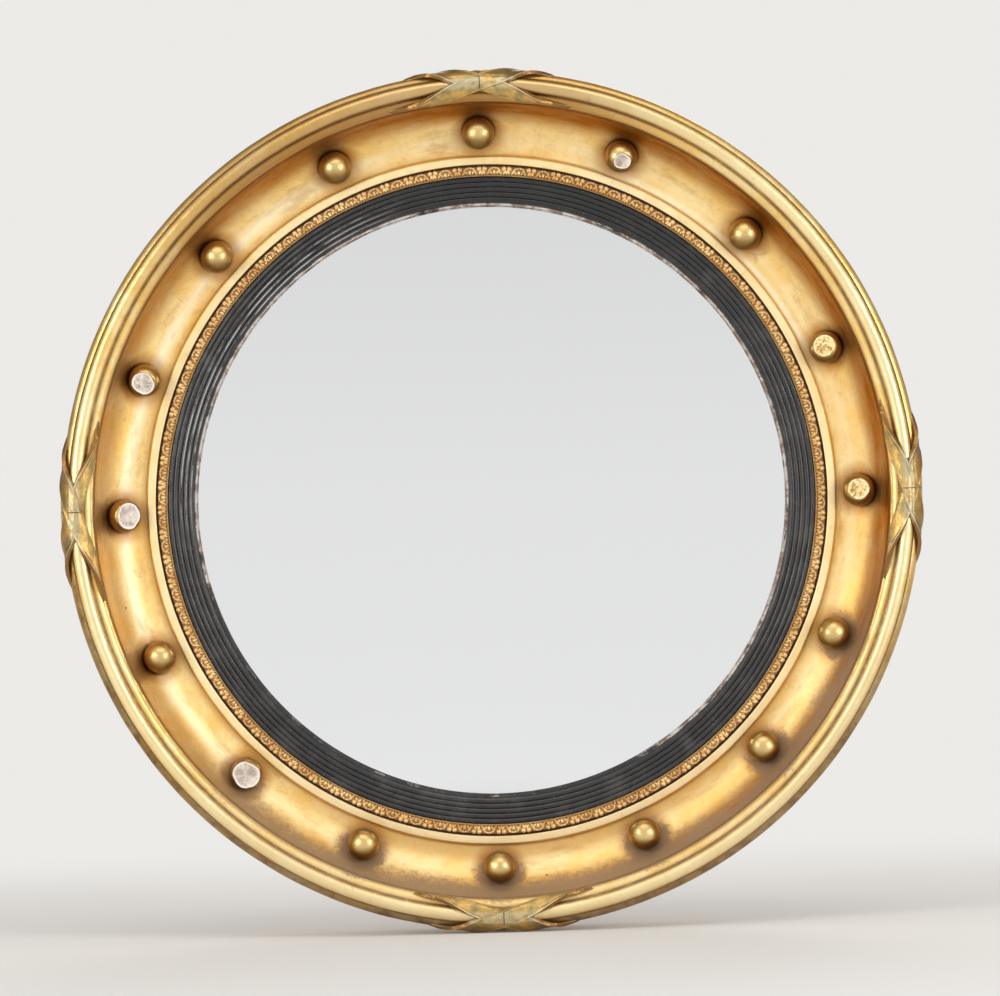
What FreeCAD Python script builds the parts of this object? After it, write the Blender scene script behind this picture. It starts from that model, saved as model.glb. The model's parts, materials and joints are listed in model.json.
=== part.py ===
import FreeCAD, Part
import math
import os

import Sketcher

# A convex wall mirror in a round gilded frame. Lengths are millimetres, angles degrees.
# The origin is the centre of the back, on the wall plane. The wall is at +Y, the glass
# faces -Y, +Z is up. "Depth" is the distance from the wall plane towards the front.

SIZES = {
    # Across the face, from the glass outwards.
    "sight_radius": 193.5,
    "lip_width": 2.1,
    "slip_reed_pitch": 3.3,
    "slip_reed_count": 5,
    "slip_gap": 0.3,
    "leaf_width": 6.5,
    "quirk_width": 0.9,
    "fillet_width": 5.8,
    "cavetto_arc": 36.3,
    "rim_land": 0.6,
    "reed_radius": 5.0,
    "main_reed_shift": 6.0,
    "outer_reed_shift": 4.2,
    # Depths of the front surfaces, each from the one behind it.
    "back_thickness": 22.0,
    "floor_height": 14.0,
    "rim_rise": 22.5,
    "inner_reed_height": 4.2,
    "main_reed_height": 10.5,
    "outer_reed_height": 3.5,
    "fillet_height": 4.0,
    "leaf_outer_height": 4.0,
    "leaf_inner_height": 1.6,
    "leaf_bulge": 5.0,
    # Slip, behind the inner lip of the hollow ring.
    "frame_lip_cover": 4.5,
    "frame_lip_thickness": 2.7,
    "slip_back_inset": 2.0,
    "slip_rise": 0.4,
    "slip_fall": 3.2,
    "slip_lip_drop": 1.6,
    "slip_lip_thickness": 2.2,
    "slip_reed_arc": 2.1,
    "slip_play": 0.5,
    "rebate_play": 0.5,
    # Glass: a cap of a sphere.
    "glass_curve_radius": 812.0,
    "glass_thickness": 3.0,
    "glass_cover": 7.0,
    "glass_play": 0.5,
    "seat_gap": 0.3,
    # Outside of the gilded ring and of the back.
    "side_wall": 1.0,
    "side_depth": 38.0,
    "foot_inset": 1.0,
    "foot_height": 2.0,
    "side_cove_arc": 24.0,
    "back_step": 2.0,
    "segment_count": 8,
    # Backboard and what holds it.
    "board_thickness": 8.0,
    "board_cover": 8.0,
    "board_play": 0.5,
    "plank_width": 150.0,
    "plank_gap": 0.5,
    "brad_radius": 0.9,
    "brad_head_radius": 1.8,
    "brad_head_thickness": 1.0,
    "brad_sink": 0.3,
    "brad_length": 17.0,
    "brad_play": 0.05,
    "brads_per_segment": 2,
    # Packing blocks behind the glass.
    "block_count": 8,
    "block_angle": 9.0,
    "block_reach": 4.5,
    # Balls.
    "ball_count": 16,
    "ball_radius": 10.5,
    "ball_inset": 14.4,
    "ball_lift": 9.7,
    "ball_foot": 0.6,
    "spigot_radius": 3.0,
    "spigot_length": 12.0,
    "spigot_play": 0.1,
    "bore_end_gap": 1.0,
    "small_chip_height": 8.7,
    "rubbed_face_height": 7.7,
    "broken_face_height": 7.0,
    "half_break_height": 4.6,
    # Ribbon ties over the rim.
    "ribbon_width": 10.0,
    "ribbon_inner_radius": 9.6,
    "ribbon_thickness": 2.4,
    "ribbon_overlap": 0.5,
    "ribbon_crown": 0.4,
    "ribbon_reach": 45.0,
    "ribbon_wrap_angle": 110.0,
    "ribbon_centre_shift": 0.8,
    "ribbon_centre_height": 5.7,
    # Hanging ring, its strap and the recess for both.
    "recess_width": 28.0,
    "recess_depth": 7.0,
    "hanger_edge_gap": 8.0,
    "wire_radius": 1.6,
    "wire_play": 0.08,
    "knuckle_wall": 1.2,
    "knuckle_relief": 0.05,
    "strap_width": 13.0,
    "strap_thickness": 1.3,
    "ring_side_gap": 2.0,
    "ring_side_length": 10.0,
    "ring_corner_arc": 2.4,
    "screw_radius": 1.3,
    "screw_head_radius": 2.5,
    "screw_length": 12.0,
    "screw_spacing": 7.0,
    "screw_drop": 3.0,
    "screw_play": 0.05,
    "screw_slot_width": 0.6,
    "screw_slot_depth": 0.5,
}

FULL_TURN = 360.0
TOP_TURN = -90.0
CUT_OVERRUN = 2.0
RIBBON_STATIONS = 9
NEAR = 1e-6

# Which balls are damaged, counted clockwise from the top, and how far each one stands.
DAMAGED_BALLS = {
    2: "small_chip_height",
    4: "rubbed_face_height",
    5: "rubbed_face_height",
    11: "half_break_height",
    13: "broken_face_height",
    14: "broken_face_height",
}
# How far each ball sits from its even place, in degrees clockwise: they were spaced by eye.
BALL_SHIFTS = {
    1: -0.4,
    2: -0.2,
    3: 0.3,
    4: -0.4,
    5: 0.1,
    6: 0.45,
    7: -1.1,
    8: -0.4,
    9: 0.4,
    10: -0.4,
    11: -1.4,
    12: -1.1,
    13: -0.8,
    14: -1.75,
    15: -1.8,
    16: -1.05,
}
RIBBON_PLACES = ("top", "right", "bottom", "left")
PLANK_PLACES = {"left": -1, "middle": 0, "right": 1}

DOCUMENT = FreeCAD.newDocument("ConvexMirror")
SHEET = DOCUMENT.addObject("Spreadsheet::Sheet", "Sizes")
Vector = FreeCAD.Vector
SUBPARTS = []


# ---------------------------------------------------------------- sizes and expressions

def fill_sheet():
    """Write every size to its own cell, with its name as the alias."""
    for row, (name, value) in enumerate(SIZES.items(), 1):
        SHEET.set(f"A{row}", name)
        SHEET.set(f"B{row}", str(value))
        SHEET.setAlias(f"B{row}", name)
    DOCUMENT.recompute()


def cell(name):
    """Return the expression for one size."""
    return f"Sizes.{name}"


def add(*terms):
    """Return the sum of some expressions."""
    return "(" + " + ".join(terms) + ")"


def less(first, *others):
    """Return an expression less some others."""
    return "(" + " - ".join((first,) + others) + ")"


def value(expression):
    """Return the number that an expression stands for."""
    return float(SHEET.evalExpression(expression))


def size(name):
    """Return the number in one cell."""
    return value(cell(name))


def leg(hypotenuse, other):
    """Return the third side of a right triangle as an expression."""
    return f"sqrt(({hypotenuse}) ^ 2 - ({other}) ^ 2)"


# Radii, from the glass outwards.
REEDS_INNER = add(cell("sight_radius"), cell("lip_width"))
REEDS_OUTER = add(REEDS_INNER, "Sizes.slip_reed_count * Sizes.slip_reed_pitch")
LEAF_INNER = add(REEDS_OUTER, cell("slip_gap"))
LEAF_OUTER = add(LEAF_INNER, cell("leaf_width"))
FILLET_INNER = add(LEAF_OUTER, cell("quirk_width"))
CAVETTO_INNER = add(FILLET_INNER, cell("fillet_width"))
CAVETTO_OUTER = add(CAVETTO_INNER, leg(cell("cavetto_arc"), "Sizes.cavetto_arc - Sizes.rim_rise"))
INNER_REED = add(CAVETTO_OUTER, cell("rim_land"), cell("reed_radius"))
MAIN_REED = add(INNER_REED, cell("main_reed_shift"))
OUTER_REED = add(MAIN_REED, cell("outer_reed_shift"))
SLIP_RADIUS = add(LEAF_INNER, cell("frame_lip_cover"))
REBATE_RADIUS = add(SLIP_RADIUS, cell("rebate_play"))
BOARD_RADIUS = add(REBATE_RADIUS, cell("board_cover"))
BOARD_REBATE = add(BOARD_RADIUS, cell("board_play"))
SIDE_RADIUS = add(CAVETTO_OUTER, cell("side_wall"))
BACK_RADIUS = less(SIDE_RADIUS, cell("back_step"))
FOOT_RADIUS = less(OUTER_REED, cell("foot_inset"))
GLASS_RADIUS = add(cell("sight_radius"), cell("glass_cover"))
GLASS_REBATE = add(GLASS_RADIUS, cell("glass_play"))
BRAD_CIRCLE = f"({REBATE_RADIUS} + {BOARD_RADIUS}) / 2"

# Depths, from the wall forwards.
FLOOR = add(cell("back_thickness"), cell("floor_height"))
RIM_SEAT = add(FLOOR, cell("rim_rise"))
FRAME_LIP_BACK = less(FLOOR, cell("frame_lip_thickness"))
SLIP_SHOULDER = less(FRAME_LIP_BACK, cell("slip_play"))
SLIP_BACK = less(cell("back_thickness"), cell("slip_back_inset"))
SLIP_OUTER_DEPTH = add(FLOOR, cell("slip_rise"))
SLIP_INNER_DEPTH = less(SLIP_OUTER_DEPTH, cell("slip_fall"))
SLIP_LIP_DEPTH = less(SLIP_INNER_DEPTH, cell("slip_lip_drop"))
GLASS_SEAT = less(SLIP_LIP_DEPTH, cell("slip_lip_thickness"), cell("seat_gap"))

# Hanging hardware.
PIVOT_RADIUS = less(BACK_RADIUS, cell("hanger_edge_gap"))
KNUCKLE_BORE = add(cell("wire_radius"), cell("wire_play"))
KNUCKLE_RADIUS = add(KNUCKLE_BORE, cell("knuckle_wall"))
PIVOT_DEPTH = less(cell("recess_depth"), cell("knuckle_relief"), KNUCKLE_RADIUS)
RING_CENTRE = less(PIVOT_RADIUS, cell("ring_side_length"))
LOWER_SCREW = less(RING_CENTRE, cell("screw_drop"))
RING_HALF_WIDTH = add("Sizes.strap_width / 2", cell("ring_side_gap"), cell("wire_radius"))
STRAP_FACE = less(cell("recess_depth"), cell("strap_thickness"))


# Depth of the middle of the glass's sphere, from where the glass meets the slip's lip.
GLASS_CENTRE = less(GLASS_SEAT, leg(cell("glass_curve_radius"), cell("sight_radius")))


def glass_front(radius):
    """Return the depth of the front of the glass at a radius."""
    return add(GLASS_CENTRE, leg(cell("glass_curve_radius"), radius))


def glass_back(radius):
    """Return the depth of the back of the glass at a radius."""
    inner = less(cell("glass_curve_radius"), cell("glass_thickness"))
    return add(GLASS_CENTRE, leg(inner, radius))


def reed_crossing(first, second):
    """Return where two equal reeds cross on their front side, as radius and depth."""
    across = f"(({second[0]}) - ({first[0]}))"
    along = f"(({second[1]}) - ({first[1]}))"
    apart = f"sqrt({across} ^ 2 + {along} ^ 2)"
    rise = leg(cell("reed_radius"), f"{apart} / 2")
    radius = f"(({first[0]}) + ({second[0]})) / 2 - {rise} * {along} / {apart}"
    depth = f"(({first[1]}) + ({second[1]})) / 2 + {rise} * {across} / {apart}"
    return radius, depth


# ---------------------------------------------------------------- sketches and features

def origin_feature(body, role):
    """Return a plane or axis of a body's origin."""
    return next(item for item in body.Origin.OriginFeatures if item.Role == role)


def new_body(label):
    """Add a body that will be written out under its label."""
    body = DOCUMENT.addObject("PartDesign::Body", "Body_" + label)
    body.Label = label
    SUBPARTS.append(body)
    return body


def new_sketch(body, name, plane, offset=None):
    """Add a sketch on one of the body's origin planes, moved along its normal."""
    sketch = body.newObject("Sketcher::SketchObject", f"{name}_{body.Label}")
    sketch.AttachmentSupport = [(origin_feature(body, plane), "")]
    sketch.MapMode = "FlatFace"
    if offset:
        sketch.setExpression(".AttachmentOffset.Base.z", offset)
    return sketch


def arc_middle(start, end, radius, turn, large):
    """Return the middle point of an arc; turn is 1 anticlockwise and -1 clockwise."""
    chord = end - start
    half = chord.Length / 2
    height = math.sqrt(max(radius ** 2 - half ** 2, 0.0))
    bulge = radius + height if large else radius - height
    side = Vector(chord.y, -chord.x, 0).normalize()
    return (start + end) * 0.5 + side * bulge * turn


def edge_ends(sketch, index, start):
    """Return the point numbers of an edge, the one at its start first."""
    first = sketch.getPoint(index, 1)
    if (first - start).Length < (sketch.getPoint(index, 2) - start).Length:
        return 1, 2
    return 2, 1


def outline(sketch, corners, arcs=None):
    """Draw a closed outline whose corners and arc radii follow the sheet.

    corners are (x, y) expressions. arcs maps the number of an edge, which runs from the
    corner of that number to the next, to (radius, turn, large).
    """
    arcs = arcs or {}
    points = [Vector(value(x), value(y), 0) for x, y in corners]
    edges = []
    for number, start in enumerate(points):
        end = points[(number + 1) % len(points)]
        edge = Part.LineSegment(start, end)
        if number in arcs:
            radius, turn, large = arcs[number]
            edge = Part.Arc(start, arc_middle(start, end, value(radius), turn, large), end)
        index = sketch.addGeometry(edge, False)
        edges.append((index,) + edge_ends(sketch, index, start))
    for number, (index, start_id, _) in enumerate(edges):
        before, _, before_end = edges[number - 1]
        sketch.addConstraint(Sketcher.Constraint("Coincident", before, before_end, index, start_id))
        place_point(sketch, index, start_id, corners[number], points[number])
        if number in arcs:
            bind(sketch, Sketcher.Constraint("Radius", index, value(arcs[number][0])), arcs[number][0])


def place_point(sketch, index, point_id, corner, point):
    """Tie a point of a sketch to its two expressions."""
    across = Sketcher.Constraint("DistanceX", -1, 1, index, point_id, point.x)
    upward = Sketcher.Constraint("DistanceY", -1, 1, index, point_id, point.y)
    bind(sketch, across, corner[0])
    bind(sketch, upward, corner[1])


def bind(sketch, constraint, expression):
    """Add a constraint whose value is an expression."""
    number = sketch.addConstraint(constraint)
    sketch.setExpression(f"Constraints[{number}]", expression)


def circle(sketch, centre, radius):
    """Draw a circle whose centre and radius follow the sheet."""
    point = Vector(value(centre[0]), value(centre[1]), 0)
    index = sketch.addGeometry(Part.Circle(point, Vector(0, 0, 1), value(radius)), False)
    place_point(sketch, index, 3, centre, point)
    bind(sketch, Sketcher.Constraint("Radius", index, value(radius)), radius)


def turned(corners):
    """Return (radius, depth) corners as the x and y of a sketch on the XY plane."""
    return [(radius, f"-({depth})") for radius, depth in corners]


def revolve(body, sketch, angle=None):
    """Turn a sketch about its vertical axis, all round or evenly to both sides."""
    feature = body.newObject("PartDesign::Revolution", f"Turned_{body.Label}")
    feature.Profile = sketch
    feature.ReferenceAxis = (sketch, ["V_Axis"])
    feature.Angle = FULL_TURN
    if angle:
        feature.Midplane = True
        feature.setExpression("Angle", angle)
    return feature


def pad(body, sketch, length, midplane=False):
    """Thicken a sketch by an expression."""
    feature = body.newObject("PartDesign::Pad", f"Pad_{sketch.Name}")
    feature.Profile = sketch
    feature.setExpression("Length", length)
    feature.Midplane = midplane
    return feature


def checked_cut(body, feature):
    """Recompute and make sure that a cut has taken something away."""
    DOCUMENT.recompute()
    before = feature.BaseFeature.Shape.Volume
    if not feature.Shape.Volume < before - NEAR:
        raise RuntimeError(f"{feature.Name} cuts nothing from {body.Label}")
    return feature


def pocket(body, sketch, length, reverse=False, midplane=False):
    """Cut a sketch into a body by an expression and check that it cuts."""
    feature = body.newObject("PartDesign::Pocket", f"Pocket_{sketch.Name}")
    feature.Profile = sketch
    feature.setExpression("Length", length)
    feature.Reversed = reverse
    feature.Midplane = midplane
    return checked_cut(body, feature)


def groove(body, sketch, axis):
    """Turn a sketch about one of its axes to cut a body."""
    feature = body.newObject("PartDesign::Groove", f"Groove_{sketch.Name}")
    feature.Profile = sketch
    feature.ReferenceAxis = (sketch, [axis])
    feature.Angle = FULL_TURN
    return checked_cut(body, feature)


def around(body, feature, count):
    """Repeat a feature about the mirror's axis."""
    pattern = body.newObject("PartDesign::PolarPattern", f"Around_{feature.Name}")
    pattern.Originals = [feature]
    pattern.Axis = (origin_feature(body, "Y_Axis"), [""])
    pattern.Angle = FULL_TURN
    pattern.setExpression("Occurrences", count)
    body.Tip = pattern
    return pattern


def upward_pair(body, feature, spacing):
    """Repeat a feature once, further up."""
    pattern = body.newObject("PartDesign::LinearPattern", f"Pair_{feature.Name}")
    pattern.Originals = [feature]
    pattern.Direction = (origin_feature(body, "Z_Axis"), [""])
    pattern.setExpression("Length", spacing)
    pattern.Occurrences = 2
    body.Tip = pattern
    return pattern


def about_axis(angle):
    """Return the placement that turns a piece clockwise about the mirror's axis."""
    return FreeCAD.Placement(Vector(0, 0, 0), FreeCAD.Rotation(Vector(0, 1, 0), angle))


def ring(label, corners, arcs=None):
    """Build a whole turned ring from (radius, depth) corners."""
    body = new_body(label)
    sketch = new_sketch(body, "Section", "XY_Plane")
    outline(sketch, turned(corners), arcs)
    revolve(body, sketch)
    return body


# ---------------------------------------------------------------- gilded front

def reeded_rim():
    """Three reeds side by side on a flat foot."""
    inner = (INNER_REED, add(RIM_SEAT, cell("inner_reed_height")))
    main = (MAIN_REED, add(RIM_SEAT, cell("main_reed_height")))
    outer = (OUTER_REED, add(RIM_SEAT, cell("outer_reed_height")))
    foot_inner = less(INNER_REED, leg(cell("reed_radius"), cell("inner_reed_height")))
    foot_outer = add(OUTER_REED, leg(cell("reed_radius"), cell("outer_reed_height")))
    corners = [
        (foot_inner, RIM_SEAT),
        reed_crossing(inner, main),
        reed_crossing(main, outer),
        (foot_outer, RIM_SEAT),
    ]
    reed = cell("reed_radius")
    arcs = {0: (reed, 1, False), 1: (reed, 1, True), 2: (reed, 1, False)}
    return ring("reeded_rim", corners, arcs)


def cavetto_ring():
    """The hollow ring that carries the rim, the balls and the inner mouldings."""
    lip_inner = add(LEAF_INNER, cell("slip_gap"))
    foot = less(RIM_SEAT, cell("foot_height"))
    corners = [
        (REBATE_RADIUS, cell("back_thickness")),
        (REBATE_RADIUS, FRAME_LIP_BACK),
        (lip_inner, FRAME_LIP_BACK),
        (lip_inner, FLOOR),
        (CAVETTO_INNER, FLOOR),
        (CAVETTO_OUTER, RIM_SEAT),
        (FOOT_RADIUS, RIM_SEAT),
        (FOOT_RADIUS, foot),
        (SIDE_RADIUS, cell("side_depth")),
        (SIDE_RADIUS, cell("back_thickness")),
    ]
    arcs = {4: (cell("cavetto_arc"), -1, False), 7: (cell("side_cove_arc"), -1, False)}
    body = ring("cavetto_ring", corners, arcs)
    DOCUMENT.recompute()
    for number in ball_numbers():
        ball_bore(body, number)
    return body


def ball_numbers():
    """Return the numbers of the balls, counted clockwise from the top."""
    return range(1, int(size("ball_count")) + 1)


def ball_angle(number):
    """Return how far clockwise from the top a ball is set."""
    step = FULL_TURN / size("ball_count")
    return (number - 1) * step + BALL_SHIFTS.get(number, 0.0)


def ball_bore(body, number):
    """Cut the bore for one ball's spigot into the hollow ring."""
    sketch = new_sketch(body, f"BallBore{number:02d}", "XY_Plane")
    sketch.AttachmentOffset = about_axis(ball_angle(number) + TOP_TURN)
    outline(sketch, turned(ball_bore_corners()))
    axis = [sketch.getPoint(0, 1), sketch.getPoint(3, 1)]
    index = sketch.addGeometry(Part.LineSegment(axis[0], axis[1]), True)
    sketch.addConstraint(Sketcher.Constraint("Coincident", index, 1, 0, 1))
    sketch.addConstraint(Sketcher.Constraint("Coincident", index, 2, 3, 1))
    groove(body, sketch, "Axis0")


def ball_tilt():
    """Return the sine and the cosine of a ball's lean towards the centre."""
    sine = "(Sizes.ball_inset / (Sizes.cavetto_arc - Sizes.ball_lift))"
    return sine, leg("1", sine)


def along_ball(height, offset="0"):
    """Return (radius, depth) at a height above the hollow on a ball's own axis."""
    sine, cosine = ball_tilt()
    reach = f"(Sizes.cavetto_arc - ({height}))"
    radius = f"({CAVETTO_INNER} + {reach} * {sine} + ({offset}) * {cosine})"
    depth = f"({FLOOR} + Sizes.cavetto_arc - {reach} * {cosine} + ({offset}) * {sine})"
    return radius, depth


def ball_bore_corners():
    """Return the half section of a ball's bore, its axis edge last."""
    mouth = str(CUT_OVERRUN)
    end = "(0 - Sizes.spigot_length - Sizes.bore_end_gap)"
    wall = "(Sizes.spigot_radius + Sizes.spigot_play)"
    return [along_ball(mouth), along_ball(mouth, wall), along_ball(end, wall), along_ball(end)]


def ball(number):
    """One turned ball with its spigot, flat where it is damaged."""
    body = new_body(f"ball_{number:02d}")
    sketch = new_sketch(body, "Section", "XZ_Plane")
    foot_radius = leg(cell("ball_radius"), "Sizes.ball_lift - Sizes.ball_foot")
    corners = [
        ("0", "-Sizes.spigot_length"),
        (cell("spigot_radius"), "-Sizes.spigot_length"),
        (cell("spigot_radius"), cell("ball_foot")),
        (foot_radius, cell("ball_foot")),
        ("0", add(cell("ball_lift"), cell("ball_radius"))),
    ]
    if number in DAMAGED_BALLS:
        height = cell(DAMAGED_BALLS[number])
        face = add(cell("ball_lift"), height)
        corners[-1:] = [(leg(cell("ball_radius"), height), face), ("0", face)]
    outline(sketch, corners, {3: (cell("ball_radius"), 1, False)})
    revolve(body, sketch)
    radius, depth = along_ball("0")
    lean = math.degrees(math.asin(value(ball_tilt()[0])))
    seat = FreeCAD.Placement(Vector(0, -value(depth), value(radius)),
                             FreeCAD.Rotation(Vector(1, 0, 0), -TOP_TURN + lean))
    body.Placement = about_axis(ball_angle(number)).multiply(seat)
    return body


def inner_fillet():
    """The flat band at the inner edge of the hollow."""
    front = add(FLOOR, cell("fillet_height"))
    corners = [(FILLET_INNER, FLOOR), (FILLET_INNER, front), (CAVETTO_INNER, front), (CAVETTO_INNER, FLOOR)]
    return ring("inner_fillet", corners)


def leaf_moulding():
    """The rounded, sloping band that carries the leaf-and-dart pattern."""
    inner_front = add(FLOOR, cell("leaf_inner_height"))
    outer_front = add(FLOOR, cell("leaf_outer_height"))
    corners = [(LEAF_INNER, FLOOR), (LEAF_INNER, inner_front), (LEAF_OUTER, outer_front), (LEAF_OUTER, FLOOR)]
    return ring("leaf_moulding", corners, {1: (cell("leaf_bulge"), 1, False)})


# ---------------------------------------------------------------- ribbon ties

def ribbon_band(hand, lift):
    """One band that winds over the rim; hand is 1 or -1 and lift raises it."""
    wrap = math.radians(size("ribbon_wrap_angle"))
    inner = size("ribbon_inner_radius") - lift
    outer = size("ribbon_inner_radius") + size("ribbon_thickness") + lift
    slope = math.atan2(outer * wrap, size("ribbon_reach"))
    half = size("ribbon_width") / math.sin(slope) / 2
    sections = []
    for station in range(RIBBON_STATIONS):
        share = 2 * station / (RIBBON_STATIONS - 1) - 1
        crown = outer + size("ribbon_crown")
        shape = [(-half, inner), (-half, outer), (0, crown), (half, outer), (half, inner)]
        points = [ribbon_point(share * wrap, hand * share * size("ribbon_reach"), *place) for place in shape]
        sections.append(Part.makePolygon(points + points[:1]))
    return Part.makeLoft(sections, True, True)


def ribbon_point(turn, reach, across, radius):
    """Return a point of the top tie: turn is measured from the front, over the rim."""
    centre_radius = value(MAIN_REED) - size("ribbon_centre_shift")
    centre_depth = value(RIM_SEAT) + size("ribbon_centre_height")
    clock = reach / centre_radius
    outward = Vector(math.sin(clock), 0, math.cos(clock))
    tangent = Vector(math.cos(clock), 0, -math.sin(clock))
    normal = outward * math.sin(turn) + Vector(0, -math.cos(turn), 0)
    return outward * centre_radius + Vector(0, -centre_depth, 0) + normal * radius + tangent * across


def ribbon_ties(rim):
    """Four ties, each two crossing bands cut out where they seat on the reeds."""
    DOCUMENT.recompute()
    bands = ribbon_band(1, 0).fuse(ribbon_band(-1, size("ribbon_overlap")))
    tie = bands.cut(rim.Shape)
    solid = max(tie.Solids, key=lambda item: item.Volume)
    for number, place in enumerate(RIBBON_PLACES):
        piece = DOCUMENT.addObject("Part::Feature", f"Ribbon_{place}")
        piece.Label = f"ribbon_tie_{place}"
        piece.Shape = solid.copy()
        piece.Placement = about_axis(number * FULL_TURN / len(RIBBON_PLACES))
        SUBPARTS.append(piece)


# ---------------------------------------------------------------- slip and glass

def ebonised_slip():
    """The reeded black ring that holds the edge of the glass."""
    gap = cell("seat_gap")
    count = int(size("slip_reed_count"))
    corners = [
        (cell("sight_radius"), add(glass_front(cell("sight_radius")), gap)),
        (cell("sight_radius"), SLIP_LIP_DEPTH),
        (REEDS_INNER, SLIP_LIP_DEPTH),
    ]
    first = len(corners)
    rise = "Sizes.slip_fall / Sizes.slip_reed_count"
    for number in range(count + 1):
        radius = f"({REEDS_INNER} + {number} * Sizes.slip_reed_pitch)"
        corners.append((radius, f"({SLIP_INNER_DEPTH} + {number} * {rise})"))
    corners += [
        (REEDS_OUTER, SLIP_SHOULDER),
        (SLIP_RADIUS, SLIP_SHOULDER),
        (SLIP_RADIUS, SLIP_BACK),
        (GLASS_REBATE, SLIP_BACK),
        (GLASS_REBATE, add(glass_front(GLASS_REBATE), gap)),
    ]
    arcs = {first + number: (cell("slip_reed_arc"), 1, False) for number in range(count)}
    return ring("ebonised_slip", corners, arcs)


def convex_glass():
    """The mirror plate: two concentric spheres cut to a disc."""
    corners = [
        ("0", glass_front("0")),
        (GLASS_RADIUS, glass_front(GLASS_RADIUS)),
        (GLASS_RADIUS, glass_back(GLASS_RADIUS)),
        ("0", glass_back("0")),
    ]
    back = less(cell("glass_curve_radius"), cell("glass_thickness"))
    return ring("convex_glass", corners, {0: (cell("glass_curve_radius"), 1, False), 2: (back, -1, False)})


# ---------------------------------------------------------------- back

def back_segment(number):
    """One pine segment of the back ring, with its share of the brad holes."""
    body = new_body(f"back_segment_{number}")
    sketch = new_sketch(body, "Section", "XY_Plane")
    corners = [
        (BOARD_REBATE, "0"),
        (BACK_RADIUS, "0"),
        (BACK_RADIUS, cell("back_thickness")),
        (REBATE_RADIUS, cell("back_thickness")),
        (REBATE_RADIUS, cell("board_thickness")),
        (BOARD_REBATE, cell("board_thickness")),
    ]
    outline(sketch, turned(corners))
    revolve(body, sketch, f"{FULL_TURN} / Sizes.segment_count")
    DOCUMENT.recompute()
    holes = new_sketch(body, "BradHoles", "XZ_Plane")
    for place in range(int(size("brads_per_segment"))):
        circle(holes, brad_place(place), add(cell("brad_radius"), cell("brad_play")))
    pocket(body, holes, add(cell("brad_length"), cell("brad_sink"), cell("brad_play")), reverse=True)
    if number == 1:
        hanger_recess(body)
    body.Placement = about_axis(TOP_TURN + (number - 1) * FULL_TURN / size("segment_count"))
    return body


def brad_place(place):
    """Return the x and z of a brad, counted along a segment that lies on the X axis."""
    share = f"(({place} + 0.5) / Sizes.brads_per_segment - 0.5)"
    angle = f"({share} * {FULL_TURN} / Sizes.segment_count * 1 deg)"
    return f"({BRAD_CIRCLE}) * cos({angle})", f"({BRAD_CIRCLE}) * sin({angle})"


def hanger_recess(body):
    """Cut the housing of the hanger across the segment, with its two screw holes."""
    low = f"({REBATE_RADIUS} - {CUT_OVERRUN})"
    high = f"({BACK_RADIUS} + {CUT_OVERRUN})"
    half = "Sizes.recess_width / 2"
    recess = new_sketch(body, "Recess", "XZ_Plane")
    outline(recess, [(low, f"-{half}"), (high, f"-{half}"), (high, half), (low, half)])
    pocket(body, recess, cell("recess_depth"), reverse=True)
    holes = new_sketch(body, "ScrewHoles", "XZ_Plane")
    for place in (LOWER_SCREW, add(LOWER_SCREW, cell("screw_spacing"))):
        circle(holes, (place, "0"), add(cell("screw_radius"), cell("screw_play")))
    pocket(body, holes, add(STRAP_FACE, cell("screw_length"), cell("screw_play")), reverse=True)


def glass_block(number):
    """A packing block behind the edges of the glass and the slip."""
    body = new_body(f"glass_block_{number}")
    sketch = new_sketch(body, "Section", "XY_Plane")
    gap = cell("seat_gap")
    inner = less(GLASS_RADIUS, cell("block_reach"))
    corners = [
        (inner, add(cell("board_thickness"), gap)),
        (less(REBATE_RADIUS, gap), add(cell("board_thickness"), gap)),
        (less(REBATE_RADIUS, gap), less(SLIP_BACK, gap)),
        (GLASS_REBATE, less(SLIP_BACK, gap)),
        (GLASS_REBATE, less(glass_back(GLASS_REBATE), gap)),
        (inner, less(glass_back(inner), gap)),
    ]
    outline(sketch, turned(corners))
    revolve(body, sketch, cell("block_angle"))
    step = FULL_TURN / size("block_count")
    body.Placement = about_axis(TOP_TURN + (number - 0.5) * step)
    return body


def backboard():
    """Three planks cut from one disc, with sunk holes for the brads."""
    disc = DOCUMENT.addObject("PartDesign::Body", "BackboardDisc")
    disc.Label = "backboard_disc"
    sketch = new_sketch(disc, "Section", "XY_Plane")
    board = cell("board_thickness")
    outline(sketch, turned([("0", "0"), (BOARD_RADIUS, "0"), (BOARD_RADIUS, board), ("0", board)]))
    revolve(disc, sketch)
    DOCUMENT.recompute()
    through = add(board, str(CUT_OVERRUN))
    sunk = add(cell("brad_sink"), cell("brad_head_thickness"), cell("brad_play"))
    for name, radius, length in (("Shank", "brad_radius", through), ("Head", "brad_head_radius", sunk)):
        hole = new_sketch(disc, name, "XZ_Plane")
        circle(hole, brad_place(0), add(cell(radius), cell("brad_play")))
        cut = pocket(disc, hole, length, reverse=True)
        around(disc, cut, "Sizes.segment_count * Sizes.brads_per_segment")
        DOCUMENT.recompute()
    disc.Placement = about_axis(TOP_TURN)
    for place, side in PLANK_PLACES.items():
        plank(disc, place, side)


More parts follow.
